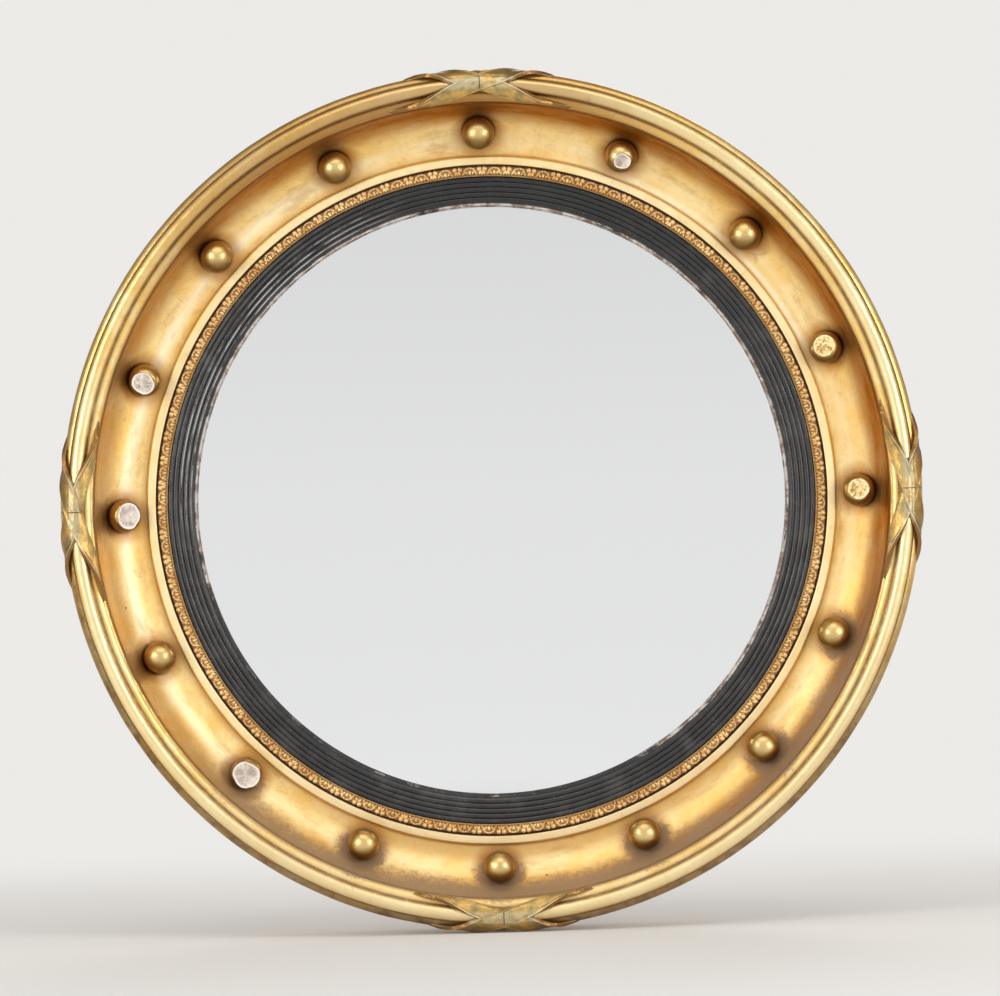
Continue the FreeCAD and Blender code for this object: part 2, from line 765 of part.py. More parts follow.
def plank(disc, place, side):
    """Cut one plank out of the disc."""
    slab = DOCUMENT.addObject("Part::Box", f"Slab_{place}")
    wide = "(Sizes.plank_width - Sizes.plank_gap)"
    reach = f"({BOARD_RADIUS} + {CUT_OVERRUN})"
    slab.setExpression("Length", wide if side == 0 else reach)
    slab.setExpression("Width", add(cell("board_thickness"), str(2 * CUT_OVERRUN)))
    slab.setExpression("Height", f"2 * {reach}")
    start = {
        -1: f"-{reach} - {wide} / 2 - Sizes.plank_gap",
        0: f"-{wide} / 2",
        1: f"{wide} / 2 + Sizes.plank_gap",
    }
    slab.setExpression(".Placement.Base.x", start[side])
    slab.setExpression(".Placement.Base.y", f"-{cell('board_thickness')} - {CUT_OVERRUN}")
    slab.setExpression(".Placement.Base.z", f"-{reach}")
    piece = DOCUMENT.addObject("Part::Common", f"Plank_{place}")
    piece.Base = disc
    piece.Tool = slab
    piece.Label = f"backboard_plank_{place}"
    SUBPARTS.append(piece)


def backboard_brads():
    """The small headed nails that hold the backboard."""
    body = new_body("backboard_brads")
    sketch = new_sketch(body, "Head", "XZ_Plane", cell("brad_sink"))
    circle(sketch, brad_place(0), cell("brad_head_radius"))
    head = pad(body, sketch, cell("brad_head_thickness"))
    shank_sketch = new_sketch(body, "Shank", "XZ_Plane", cell("brad_sink"))
    circle(shank_sketch, brad_place(0), cell("brad_radius"))
    shank = pad(body, shank_sketch, cell("brad_length"))
    DOCUMENT.recompute()
    pattern = around(body, head, "Sizes.segment_count * Sizes.brads_per_segment")
    pattern.Originals = [head, shank]
    body.Placement = about_axis(TOP_TURN)
    return body


# ---------------------------------------------------------------- hanging hardware

def at_lower_screw(depth="0"):
    """Return the placement whose origin is on the lower screw's axis, at a depth."""
    return FreeCAD.Placement(Vector(0, -value(depth), value(LOWER_SCREW)), FreeCAD.Rotation())


def screw_head_corners(play):
    """Return the half section of a countersunk head, in the strap's thickness."""
    head = add(cell("screw_head_radius"), play)
    shank = add(cell("screw_radius"), play)
    return [("0", "0"), (head, "0"), (shank, cell("strap_thickness")), ("0", cell("strap_thickness"))]


def hanger_strap():
    """A brass strap, round at its lower end and rolled to a knuckle at its upper end."""
    body = new_body("hanger_strap")
    half = "Sizes.strap_width / 2"
    centre = less(RING_CENTRE, LOWER_SCREW)
    top = less(PIVOT_RADIUS, LOWER_SCREW)
    plate = new_sketch(body, "Plate", "XZ_Plane")
    corners = [
        (f"-{half}", top),
        (f"-{half}", centre),
        ("0", f"{centre} - {half}"),
        (half, centre),
        (half, top),
    ]
    outline(plate, corners, {1: (half, 1, False), 2: (half, 1, False)})
    pad(body, plate, cell("strap_thickness"))
    roll = (f"-({PIVOT_DEPTH} - {STRAP_FACE})", top)
    knuckle = new_sketch(body, "Knuckle", "YZ_Plane")
    circle(knuckle, roll, KNUCKLE_RADIUS)
    pad(body, knuckle, cell("strap_width"), midplane=True)
    DOCUMENT.recompute()
    bore = new_sketch(body, "Bore", "YZ_Plane")
    circle(bore, roll, KNUCKLE_BORE)
    pocket(body, bore, f"{cell('strap_width')} + {CUT_OVERRUN}", midplane=True)
    hole = new_sketch(body, "ScrewSeat", "XY_Plane")
    outline(hole, turned(screw_head_corners(cell("screw_play"))))
    upward_pair(body, groove(body, hole, "V_Axis"), cell("screw_spacing"))
    body.Placement = at_lower_screw(STRAP_FACE)
    return body


def hanger_screws():
    """The two countersunk screws of the strap, with their driver slots."""
    body = new_body("hanger_screws")
    sketch = new_sketch(body, "Section", "XY_Plane")
    corners = screw_head_corners("0")[:-1]
    corners += [(cell("screw_radius"), cell("screw_length")), ("0", cell("screw_length"))]
    outline(sketch, turned(corners))
    screw = revolve(body, sketch)
    DOCUMENT.recompute()
    slot = new_sketch(body, "Slot", "XZ_Plane")
    reach = cell("screw_head_radius")
    half = "Sizes.screw_slot_width / 2"
    outline(slot, [(f"-{reach}", f"-{half}"), (reach, f"-{half}"), (reach, half), (f"-{reach}", half)])
    cut = pocket(body, slot, cell("screw_slot_depth"), reverse=True)
    pattern = upward_pair(body, screw, cell("screw_spacing"))
    pattern.Originals = [screw, cut]
    body.Placement = at_lower_screw(STRAP_FACE)
    return body


def hanging_ring():
    """The D-shaped wire ring that swings in the knuckle."""
    body = new_body("hanging_ring")
    corner = cell("ring_corner_arc")
    side = RING_HALF_WIDTH
    straight = less(side, corner)
    top = less(PIVOT_RADIUS, corner)
    path = new_sketch(body, "Path", "XZ_Plane", PIVOT_DEPTH)
    outline(path, [
        (f"-{straight}", PIVOT_RADIUS),
        (straight, PIVOT_RADIUS),
        (side, top),
        (side, RING_CENTRE),
        ("0", less(RING_CENTRE, side)),
        (f"-{side}", RING_CENTRE),
        (f"-{side}", top),
    ], {1: (corner, -1, False), 3: (side, -1, False), 4: (side, -1, False), 6: (corner, -1, False)})
    wire = new_sketch(body, "Wire", "YZ_Plane")
    circle(wire, (f"-{PIVOT_DEPTH}", PIVOT_RADIUS), cell("wire_radius"))
    DOCUMENT.recompute()
    pipe = body.newObject("PartDesign::AdditivePipe", "Pipe_hanging_ring")
    pipe.Profile = wire
    pipe.Spine = (path, [f"Edge{number + 1}" for number in range(path.GeometryCount)])
    return body


# ---------------------------------------------------------------- whole mirror

def build():
    """Build every sub-part."""
    fill_sheet()
    rim = reeded_rim()
    cavetto_ring()
    inner_fillet()
    leaf_moulding()
    ebonised_slip()
    convex_glass()
    for number in ball_numbers():
        ball(number)
    ribbon_ties(rim)
    for number in range(1, int(size("segment_count")) + 1):
        back_segment(number)
    for number in range(1, int(size("block_count")) + 1):
        glass_block(number)
    backboard()
    backboard_brads()
    hanger_strap()
    hanger_screws()
    hanging_ring()
    DOCUMENT.recompute()


def check():
    """Stop if any object failed or any sub-part isn't a sound solid."""
    for item in DOCUMENT.Objects:
        if {"Invalid", "Error"} & set(item.State):
            raise RuntimeError(f"{item.Name} failed: {item.State}")
    for piece in SUBPARTS:
        shape = piece.Shape
        if shape.isNull() or not shape.isValid() or not shape.Solids:
            raise RuntimeError(f"{piece.Label} is not a sound solid")


def write():
    """Write each sub-part to its own file."""
    os.makedirs("parts", exist_ok=True)
    for piece in SUBPARTS:
        piece.Shape.exportStep(f"parts/{piece.Label}.step")
        print(f"{piece.Label}: {len(piece.Shape.Solids)} solid(s), {piece.Shape.Volume:.0f} mm3")


build()
check()
write()
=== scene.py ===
"""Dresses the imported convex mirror: gilding, balls, carving, slip, glass, pine back and hanger.

Everything is in metres in the row's frame: the wall is at +Y, the glass faces -Y, +Z is up, and
the mirror's axis is the Y axis. "Depth" is the distance from the wall plane towards the front, so a
point at a depth has that depth as its negative Y.
"""

import json
import logging
import math
from contextlib import contextmanager
from dataclasses import dataclass, field
from enum import Enum
from typing import Callable, Iterator, Sequence

import bpy
from mathutils import Matrix, Vector

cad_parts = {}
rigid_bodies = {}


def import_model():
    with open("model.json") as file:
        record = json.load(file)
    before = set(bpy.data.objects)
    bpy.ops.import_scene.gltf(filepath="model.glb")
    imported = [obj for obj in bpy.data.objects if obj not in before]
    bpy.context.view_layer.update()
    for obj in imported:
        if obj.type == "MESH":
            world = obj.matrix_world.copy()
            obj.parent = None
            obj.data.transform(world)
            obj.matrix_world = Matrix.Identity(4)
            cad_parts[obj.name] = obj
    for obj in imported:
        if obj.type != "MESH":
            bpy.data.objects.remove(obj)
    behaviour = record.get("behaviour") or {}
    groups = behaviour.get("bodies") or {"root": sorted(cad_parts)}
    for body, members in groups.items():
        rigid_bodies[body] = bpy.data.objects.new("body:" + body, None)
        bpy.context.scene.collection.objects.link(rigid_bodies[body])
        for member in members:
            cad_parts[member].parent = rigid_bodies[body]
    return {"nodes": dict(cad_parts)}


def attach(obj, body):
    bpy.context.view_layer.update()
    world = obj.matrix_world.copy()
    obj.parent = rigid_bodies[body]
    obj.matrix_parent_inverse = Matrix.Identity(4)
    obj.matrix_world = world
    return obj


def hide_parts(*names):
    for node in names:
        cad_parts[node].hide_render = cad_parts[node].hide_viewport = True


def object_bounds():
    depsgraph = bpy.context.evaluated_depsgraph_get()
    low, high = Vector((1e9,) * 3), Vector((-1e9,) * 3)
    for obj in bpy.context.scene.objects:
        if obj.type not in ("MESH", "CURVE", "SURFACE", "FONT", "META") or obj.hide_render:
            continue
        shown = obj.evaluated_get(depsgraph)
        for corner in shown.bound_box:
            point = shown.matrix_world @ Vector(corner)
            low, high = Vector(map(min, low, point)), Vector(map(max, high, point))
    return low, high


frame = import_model()
CAD_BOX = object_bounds()

LOG = logging.getLogger("convex_mirror")
FULL_TURN = 2 * math.pi
QUARTER_TURN = math.pi / 2
MERGE_DISTANCE = 1e-6

Point = tuple[float, float]
Section = list[Point]
Triple = tuple[float, float, float]
Colour = tuple[float, float, float, float]
Socket = bpy.types.NodeSocket

WHITE: Colour = (1.0, 1.0, 1.0, 1.0)


class Body(Enum):
    """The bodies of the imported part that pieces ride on."""

    FRAME = "frame"
    RING = "ring"


class Slot(Enum):
    """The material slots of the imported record."""

    GILDING = "gilding"
    TARNISHED = "tarnished_gilding"
    BRONZED = "bronzed_gilding"
    EBONISED = "ebonised_wood"
    GLASS = "mirror_plate"
    PINE = "pine"
    BRASS = "brass"
    IRON = "iron"


def srgb(red: int, green: int, blue: int) -> Colour:
    """Turn a colour written as on a screen into the linear colour of a shader.

    Args:
        red: Red, 0 to 255.
        green: Green, 0 to 255.
        blue: Blue, 0 to 255.

    Returns:
        The linear colour, with alpha 1.
    """
    def linear(level: int) -> float:
        """Undo the screen's curve for one channel."""
        share = level / 255
        return share / 12.92 if share <= 0.04045 else ((share + 0.055) / 1.055) ** 2.4

    return (linear(red), linear(green), linear(blue), 1.0)


# ------------------------------------------------------------------ bench tools

def deselect() -> None:
    """Deselect every object."""
    for item in bpy.context.view_layer.objects:
        item.select_set(False)


def pick(piece: bpy.types.Object) -> None:
    """Make one piece the only selected object and the active one."""
    deselect()
    piece.select_set(True)
    bpy.context.view_layer.objects.active = piece


@contextmanager
def editing(piece: bpy.types.Object, everything: bool = True) -> Iterator[None]:
    """Open a piece in edit mode and close it again.

    Args:
        piece: The mesh object to edit.
        everything: Whether all of it starts selected, rather than what was selected before.

    Yields:
        Nothing; the piece is in edit mode meanwhile.
    """
    pick(piece)
    bpy.ops.object.mode_set(mode="EDIT")
    if everything:
        bpy.ops.mesh.select_all(action="SELECT")
    yield
    bpy.ops.object.mode_set(mode="OBJECT")


def select_faces(piece: bpy.types.Object,
                 wanted: Callable[[bpy.types.MeshPolygon], bool]) -> list[bpy.types.MeshPolygon]:
    """Select only the faces of a piece that a test accepts, and return them."""
    mesh = piece.data
    for item in (*mesh.vertices, *mesh.edges, *mesh.polygons):
        item.select = False
    chosen = [face for face in mesh.polygons if wanted(face)]
    for face in chosen:
        face.select = True
    return chosen


def finish_modifier(piece: bpy.types.Object, kind: str, **settings: object) -> None:
    """Add a modifier, set it up and apply it.

    Args:
        piece: The mesh object.
        kind: The modifier's type.
        settings: Its properties.
    """
    pick(piece)
    modifier = piece.modifiers.new(kind.title(), kind)
    for name, value in settings.items():
        setattr(modifier, name, value)
    bpy.ops.object.modifier_apply(modifier=modifier.name)


def tidy(piece: bpy.types.Object, angle: float = 32.0) -> None:
    """Merge doubles, turn the faces outwards and shade smooth up to an angle.

    Args:
        piece: The mesh object.
        angle: The sharpest angle, in degrees, that is still shaded smooth.
    """
    with editing(piece):
        bpy.ops.mesh.remove_doubles(threshold=MERGE_DISTANCE)
        bpy.ops.mesh.normals_make_consistent(inside=False)
    pick(piece)
    bpy.ops.object.shade_smooth_by_angle(angle=math.radians(angle))


def wobble(piece: bpy.types.Object, height: float, grain: float, depth: int = 2) -> None:
    """Give a surface the small unevenness of handwork.

    Args:
        piece: The mesh object.
        height: How far the surface moves in all.
        grain: The size of the unevenness.
        depth: How many finer layers it has.
    """
    texture = bpy.data.textures.new(f"{piece.name}_wobble", "CLOUDS")
    texture.noise_scale = grain
    texture.noise_depth = depth
    finish_modifier(piece, "DISPLACE", texture=texture, strength=height, mid_level=0.5)


def place_mesh(piece: bpy.types.Object, place: Matrix) -> None:
    """Move a piece and put the move into its mesh."""
    piece.data.transform(place)
    piece.data.update()


def join(pieces: Sequence[bpy.types.Object], name: str) -> bpy.types.Object:
    """Join meshes into one object.

    Args:
        pieces: The objects; the first keeps its materials in front.
        name: The name of the result.

    Returns:
        The joined object.
    """
    deselect()
    for piece in pieces:
        piece.select_set(True)
    bpy.context.view_layer.objects.active = pieces[0]
    bpy.ops.object.join()
    pieces[0].name = name
    return pieces[0]


def copy_of(piece: bpy.types.Object, name: str, place: Matrix) -> bpy.types.Object:
    """Copy a piece with a mesh of its own and move the copy.

    Args:
        piece: The model.
        name: The copy's name.
        place: Where the copy goes, from the model's place.

    Returns:
        The copy.
    """
    twin = piece.copy()
    twin.data = piece.data.copy()
    twin.name = name
    bpy.context.scene.collection.objects.link(twin)
    place_mesh(twin, place)
    return twin


def apply_place(piece: bpy.types.Object) -> None:
    """Put a new primitive's place, turn and scale into its mesh."""
    pick(piece)
    bpy.ops.object.transform_apply(location=True, rotation=True, scale=True)


def clockwise(angle: float) -> Matrix:
    """Return the turn about the mirror's axis, clockwise for someone who looks at the glass."""
    return Matrix.Rotation(angle, 4, "Y")


def chain(name: str, points: Sequence[Vector]) -> bpy.types.Object:
    """Draw a closed line of points, as an object with only vertices and edges."""
    bpy.ops.mesh.primitive_plane_add(size=1, location=(0, 0, 0))
    piece = bpy.context.object
    piece.name = name
    with editing(piece):
        bpy.ops.mesh.merge(type="CENTER")
    piece.data.vertices[0].co = points[0]
    with editing(piece):
        for before, after in zip(points, points[1:]):
            bpy.ops.mesh.extrude_region_move(TRANSFORM_OT_translate={"value": after - before})
    for vertex in piece.data.vertices:
        vertex.select = vertex.index in (0, len(points) - 1)
    with editing(piece, everything=False):
        bpy.ops.mesh.edge_face_add()
    return piece


def turn_section(name: str, section: Section, steps: int) -> bpy.types.Object:
    """Spin a closed section of (radius, depth) points about the mirror's axis.

    Args:
        name: The object's name.
        section: The section's corners, in order round it.
        steps: How many stations the full turn has.

    Returns:
        The closed ring, or solid where the section reaches the axis.
    """
    piece = chain(name, [Vector((radius, -depth, 0)) for radius, depth in section])
    with editing(piece):
        bpy.ops.mesh.spin(steps=steps, angle=FULL_TURN, center=(0, 0, 0), axis=(0, 1, 0),
                          use_auto_merge=True)
    tidy(piece)
    return piece


def arc(centre: Point, radius: float, start: float, end: float, count: int) -> Section:
    """Return points along an arc from one angle to another, in degrees, both ends included."""
    angles = [math.radians(start + (end - start) * step / count) for step in range(count + 1)]
    return [(centre[0] + radius * math.cos(a), centre[1] + radius * math.sin(a)) for a in angles]


def apex(start: Point, end: Point, radius: float, side: int = 1) -> Point:
    """Return the point at one radius from two others.

    Args:
        start: The first point.
        end: The second point.
        radius: The distance from both.
        side: Where it lies from the way between them: 1 for the left and -1 for the right.

    Returns:
        The point.
    """
    across, along = end[0] - start[0], end[1] - start[1]
    length = math.hypot(across, along)
    reach = side * math.sqrt(radius ** 2 - length ** 2 / 4)
    return (start[0] + end[0]) / 2 - reach * along / length, (start[1] + end[1]) / 2 + reach * across / length


def bow(start: Point, end: Point, radius: float, count: int, side: int) -> Section:
    """Return an arc between two points, whose centre lies on a side as apex has it."""
    centre = apex(start, end, radius, side)
    first, last = (math.degrees(math.atan2(y - centre[1], x - centre[0])) for x, y in (start, end))
    return arc(centre, radius, first, last, count)


def dress(piece: bpy.types.Object, material: bpy.types.Material | None, slot: Slot, *nodes: str,
          body: Body = Body.FRAME) -> None:
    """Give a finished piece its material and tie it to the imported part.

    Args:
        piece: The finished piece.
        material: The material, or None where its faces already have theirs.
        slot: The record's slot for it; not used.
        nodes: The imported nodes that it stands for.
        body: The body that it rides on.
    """
    if material:
        piece.data.materials.clear()
        piece.data.materials.append(material)
    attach(piece, body.value)
    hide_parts(*nodes)
    LOG.info("%s: %d faces for %s", piece.name, len(piece.data.polygons), ", ".join(nodes))


def softened(node: str, material: bpy.types.Material, width: float, slot: Slot,
             body: Body = Body.FRAME) -> None:
    """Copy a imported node, soften its edges and let the copy stand for it.

    Args:
        node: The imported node.
        material: Its finish.
        width: The width of the softened edge.
        slot: The record's slot.
        body: The body that it rides on.
    """
    piece = copy_of(frame["nodes"][node], f"{node}_worn", Matrix.Identity(4))
    piece.hide_render = False
    with editing(piece):
        bpy.ops.mesh.remove_doubles(threshold=MERGE_DISTANCE)
        bpy.ops.mesh.dissolve_limited(angle_limit=math.radians(1.0))
    finish_modifier(piece, "BEVEL", width=width, segments=2, limit_method="ANGLE",
                    angle_limit=math.radians(35), use_clamp_overlap=True)
    tidy(piece, 38)
    dress(piece, material, slot, node, body=body)


# ------------------------------------------------------------------ plan of the mirror

@dataclass(frozen=True)
class Plan:
    """The radii and depths that the pieces share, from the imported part's own sizes."""

    sight_radius: float = 0.1935
    reeds_inner: float = 0.1956
    reeds_outer: float = 0.2121
    leaf_inner: float = 0.2124
    leaf_outer: float = 0.2189
    fillet_inner: float = 0.2198
    hollow_inner: float = 0.2256
    hollow_arc: float = 0.0363
    floor_depth: float = 0.036
    seat_depth: float = 0.0585
    back_thickness: float = 0.022
    rebate_radius: float = 0.2174
    reed_radius: float = 0.005
    ball_count: int = 16
    ball_radius: float = 0.0105
    ball_inset: float = 0.0144
    ball_lift: float = 0.0097
    ball_shifts: tuple[float, ...] = (-0.4, -0.2, 0.3, -0.4, 0.1, 0.45, -1.1, -0.4,
                                      0.4, -0.4, -1.4, -1.1, -0.8, -1.75, -1.8, -1.05)
    slip_reeds: int = 5

    @property
    def hollow_outer(self) -> float:
        """The radius at which the hollow meets the rim's seat."""
        rise = self.seat_depth - self.floor_depth
        return self.hollow_inner + math.sqrt(self.hollow_arc ** 2 - (self.hollow_arc - rise) ** 2)

    @property
    def side_radius(self) -> float:
        """The outer radius of the gilded ring's straight side."""
        return self.hollow_outer + 0.001

    @property
    def reeds(self) -> Section:
        """The (radius, depth) centres of the inner, main and outer reed."""
        inner = self.hollow_outer + 0.0006 + self.reed_radius
        rises = ((0.0, 0.0042), (0.006, 0.0105), (0.0102, 0.0035))
        return [(inner + shift, self.seat_depth + rise) for shift, rise in rises]

    @property
    def ball_lean(self) -> float:
        """How far a ball's axis leans towards the centre, in radians."""
        return math.asin(self.ball_inset / (self.hollow_arc - self.ball_lift))

    def ball_seat(self, number: int) -> Matrix:
        """Return the place of a ball's own frame, whose Z axis leaves the hollow squarely.

        Args:
            number: The ball, counted clockwise from the top, from 1.

        Returns:
            The placement.
        """
        reach = self.hollow_arc
        radius = self.hollow_inner + reach * math.sin(self.ball_lean)
        depth = self.floor_depth + reach - reach * math.cos(self.ball_lean)
        lean = Matrix.Rotation(QUARTER_TURN + self.ball_lean, 4, "X")
        seat = Matrix.Translation((0, -depth, radius)) @ lean
        even = (number - 1) * FULL_TURN / self.ball_count
        return clockwise(even + math.radians(self.ball_shifts[number - 1])) @ seat


PLAN = Plan()


# ------------------------------------------------------------------ materials

class Signal:
    """A value in a node tree; plain arithmetic on it adds Math nodes."""

    def __init__(self, graph: "Graph", socket: Socket) -> None:
        """Wrap the output of a node."""
        self.graph = graph
        self.socket = socket

    def __add__(self, other: object) -> "Signal":
        """Return the sum."""
        return self.graph.calc("ADD", self, other)

    def __sub__(self, other: object) -> "Signal":
        """Return the difference."""
        return self.graph.calc("SUBTRACT", self, other)

    def __rsub__(self, other: object) -> "Signal":
        """Return a number less this value."""
        return self.graph.calc("SUBTRACT", other, self)

    def __mul__(self, other: object) -> "Signal":
        """Return the product."""
        return self.graph.calc("MULTIPLY", self, other)

    def __truediv__(self, other: object) -> "Signal":
        """Return the quotient."""
        return self.graph.calc("DIVIDE", self, other)

    def __rtruediv__(self, other: object) -> "Signal":
        """Return a number divided by this value."""
        return self.graph.calc("DIVIDE", other, self)

    def __or__(self, other: object) -> "Signal":
        """Return the larger of two, which joins two masks."""
        return self.graph.calc("MAXIMUM", self, other)

    def __neg__(self) -> "Signal":
        """Return the value with its sign turned."""
        return self * -1.0

    def __abs__(self) -> "Signal":
        """Return the value without its sign."""
        return self.graph.calc("ABSOLUTE", self)

    __radd__ = __add__
    __rmul__ = __mul__

    def root(self) -> "Signal":
        """Return the square root."""
        return self.graph.calc("SQRT", self)

    def facing(self, way: float) -> "Signal":
        """Return how nearly this angle lies at another: 1 there and -1 opposite."""
        return self.graph.calc("COSINE", self - way)

    def clamped(self) -> "Signal":
        """Hold the result of the last sum or product within 0 and 1."""
        self.socket.node.use_clamp = True
        return self

    def other(self, output: str) -> "Signal":
        """Return another output of the same node."""
        return Signal(self.graph, self.socket.node.outputs[output])

    def span(self, low: float, high: float, first: float = 0.0, last: float = 1.0,
             kind: str = "SMOOTHSTEP") -> "Signal":
        """Map the value from one range to another and hold it at the ends.

        Args:
            low: Where the result starts to change.
            high: Where it stops.
            first: The result at low.
            last: The result at high.
            kind: How it changes in between.

        Returns:
            The result.
        """
        values = dict(enumerate((self, low, high, first, last)))
        return self.graph.node("ShaderNodeMapRange", 0, values, interpolation_type=kind)

    def band(self, low: float, high: float, edge: float) -> "Signal":
        """Return 1 where the value is between low and high, with soft edges."""
        return self.span(low - edge, low + edge) * self.span(high - edge, high + edge, 1.0, 0.0)


class Graph:
    """A node tree under construction, with short ways to add its nodes."""

    def __init__(self, tree: bpy.types.NodeTree) -> None:
        """Start with an empty tree."""
        self.tree = tree
        tree.nodes.clear()

    def add(self, kind: str, **settings: object) -> bpy.types.Node:
        """Add a node and set its properties."""
        node = self.tree.nodes.new(kind)
        for name, value in settings.items():
            setattr(node, name, value)
        return node

    def feed(self, socket: Socket, value: object) -> None:
        """Give a socket a number, a colour or the output of another node."""
        value = value.socket if isinstance(value, Signal) else value
        if isinstance(value, bpy.types.NodeSocket):
            self.tree.links.new(value, socket)
        else:
            socket.default_value = value

    def node(self, kind: str, output: int | str, values: dict[int | str, object],
             **settings: object) -> Signal:
        """Add a node and feed it.

        Args:
            kind: The node's type.
            output: The output that is wanted.
            values: What goes into its inputs, by their names or numbers.
            settings: Its properties.

        Returns:
            The output.
        """
        node = self.add(kind, **settings)
        for name, value in values.items():
            self.feed(node.inputs[name], value)
        return Signal(self, node.outputs[output])

    def calc(self, operation: str, *values: object) -> Signal:
        """Return the result of a Math node."""
        return self.node("ShaderNodeMath", 0, dict(enumerate(values)), operation=operation)

    def coordinates(self, kind: str) -> Signal:
        """Return one of the coordinates that a point has."""
        return self.node("ShaderNodeTexCoord", kind, {})

    def parts(self, place: Signal) -> list[Signal]:
        """Return the X, Y and Z of a place."""
        x = self.node("ShaderNodeSeparateXYZ", "X", {0: place})
        return [x, x.other("Y"), x.other("Z")]

    def rays(self) -> list[Signal]:
        """Return whether a ray comes from the camera, from a reflection or through glass."""
        camera = self.node("ShaderNodeLightPath", "Is Camera Ray", {})
        return [camera, camera.other("Is Glossy Ray"), camera.other("Is Transmission Ray")]

    def either(self, test: Signal, no: object, yes: object) -> Signal:
        """Return one of two numbers by a test."""
        return self.node("ShaderNodeMix", 0, {0: test, 2: no, 3: yes})

    def mix(self, share: object, first: object, second: object) -> Signal:
        """Return the second colour over the first by a share."""
        return self.node("ShaderNodeMix", 2, {0: share, 6: first, 7: second}, data_type="RGBA")


class Shader(Graph):
    """A material under construction, painted coat by coat.

    Its radius, angle and depth are a point's distance from the mirror's axis, its clockwise angle from
    the top in radians, and its distance from the wall.
    """

    def __init__(self, name: str, colour: object = WHITE) -> None:
        """Start a material with one plain colour."""
        self.material = bpy.data.materials.new(name)
        self.material.use_nodes = True
        super().__init__(self.material.node_tree)
        self.surface = self.add("ShaderNodeBsdfPrincipled")
        self.output = self.add("ShaderNodeOutputMaterial").inputs["Surface"]
        self.feed(self.output, self.surface.outputs["BSDF"])
        self.place = self.coordinates("Object")
        self.x, self.y, self.z = self.parts(self.place)
        self.radius = (self.x * self.x + self.z * self.z).root()
        self.angle = self.calc("ARCTAN2", self.x, self.z)
        self.depth = -self.y
        self.colour = colour
        self.normal: Signal | None = None

    def at(self, x: object, y: object, z: object = 0.0) -> Signal:
        """Return the place with these X, Y and Z."""
        return self.node("ShaderNodeCombineXYZ", 0, {0: x, 1: y, 2: z})

    def mapped(self, place: Signal, scale: Triple = (1.0, 1.0, 1.0), turn: float = 0.0,
               shift: Triple = (0.0, 0.0, 0.0)) -> Signal:
        """Return a place scaled along each axis, turned about Y and shifted."""
        values = {"Vector": place, "Location": shift, "Rotation": (0.0, turn, 0.0), "Scale": scale}
        return self.node("ShaderNodeMapping", 0, values)

    def noise(self, scale: float, detail: float = 3.0, rough: float = 0.55, place: Signal | None = None,
              warp: float = 0.0) -> Signal:
        """Return cloudy noise, 0 to 1, with features about 1 / scale metres wide."""
        values = {"Vector": place or self.place, "Scale": scale, "Detail": detail, "Roughness": rough,
                  "Distortion": warp}
        return self.node("ShaderNodeTexNoise", 0, values)

    def cells(self, output: str, scale: float, place: Signal | None = None,
              feature: str = "F1") -> Signal:
        """Return one output of a net of irregular cells."""
        values = {"Vector": place or self.place, "Scale": scale}
        return self.node("ShaderNodeTexVoronoi", output, values, feature=feature)

    def steps(self, place: Signal, levels: Sequence[float], reach: float) -> Signal:
        """Return one level of a list for each equal part of 0 to 1.

        Args:
            place: Where in 0 to 1.
            levels: The levels, each between -reach and reach.
            reach: The largest level that fits.

        Returns:
            The level.
        """
        result = self.node("ShaderNodeValToRGB", 0, {0: place})
        ramp = result.socket.node.color_ramp
        ramp.interpolation = "CONSTANT"
        for number, level in enumerate(levels):
            stop = ramp.elements[0] if number == 0 else ramp.elements.new(number / len(levels))
            share = (level / reach + 1) / 2
            stop.color = (share, share, share, 1.0)
        ramp.elements.remove(ramp.elements[-1])
        return (result - 0.5) * (2 * reach)

    def paint(self, share: object, colour: object) -> None:
        """Lay a colour over the coats so far, by a share."""
        self.colour = self.mix(share, self.colour, colour)

    def emboss(self, height: Signal, distance: float, strength: float) -> None:
        """Add relief to the surface, over what it already has."""
        values = {"Strength": strength, "Distance": distance, "Height": height}
        if self.normal:
            values["Normal"] = self.normal
        self.normal = self.node("ShaderNodeBump", 0, values)

    def close(self, rough: object, metal: object = 0.0) -> bpy.types.Material:
        """Connect the colour, the relief, a roughness and a metal, and return the material."""
        values = {"Base Color": self.colour, "Roughness": rough, "Metallic": metal}
        if self.normal:
            values["Normal"] = self.normal
        for name, value in values.items():
            self.feed(self.surface.inputs[name], value)
        return self.material


class GiltTone(Enum):
    """How worn and how dark a gilded surface is: shares of rubbing, of painted shade with brown streaks, and
    of dirt.
    """

    RIM = (0.30, 0.70, 0.30)
    HOLLOW = (0.20, 1.0, 0.30)
    FILLET = (0.15, 0.30, 0.15)


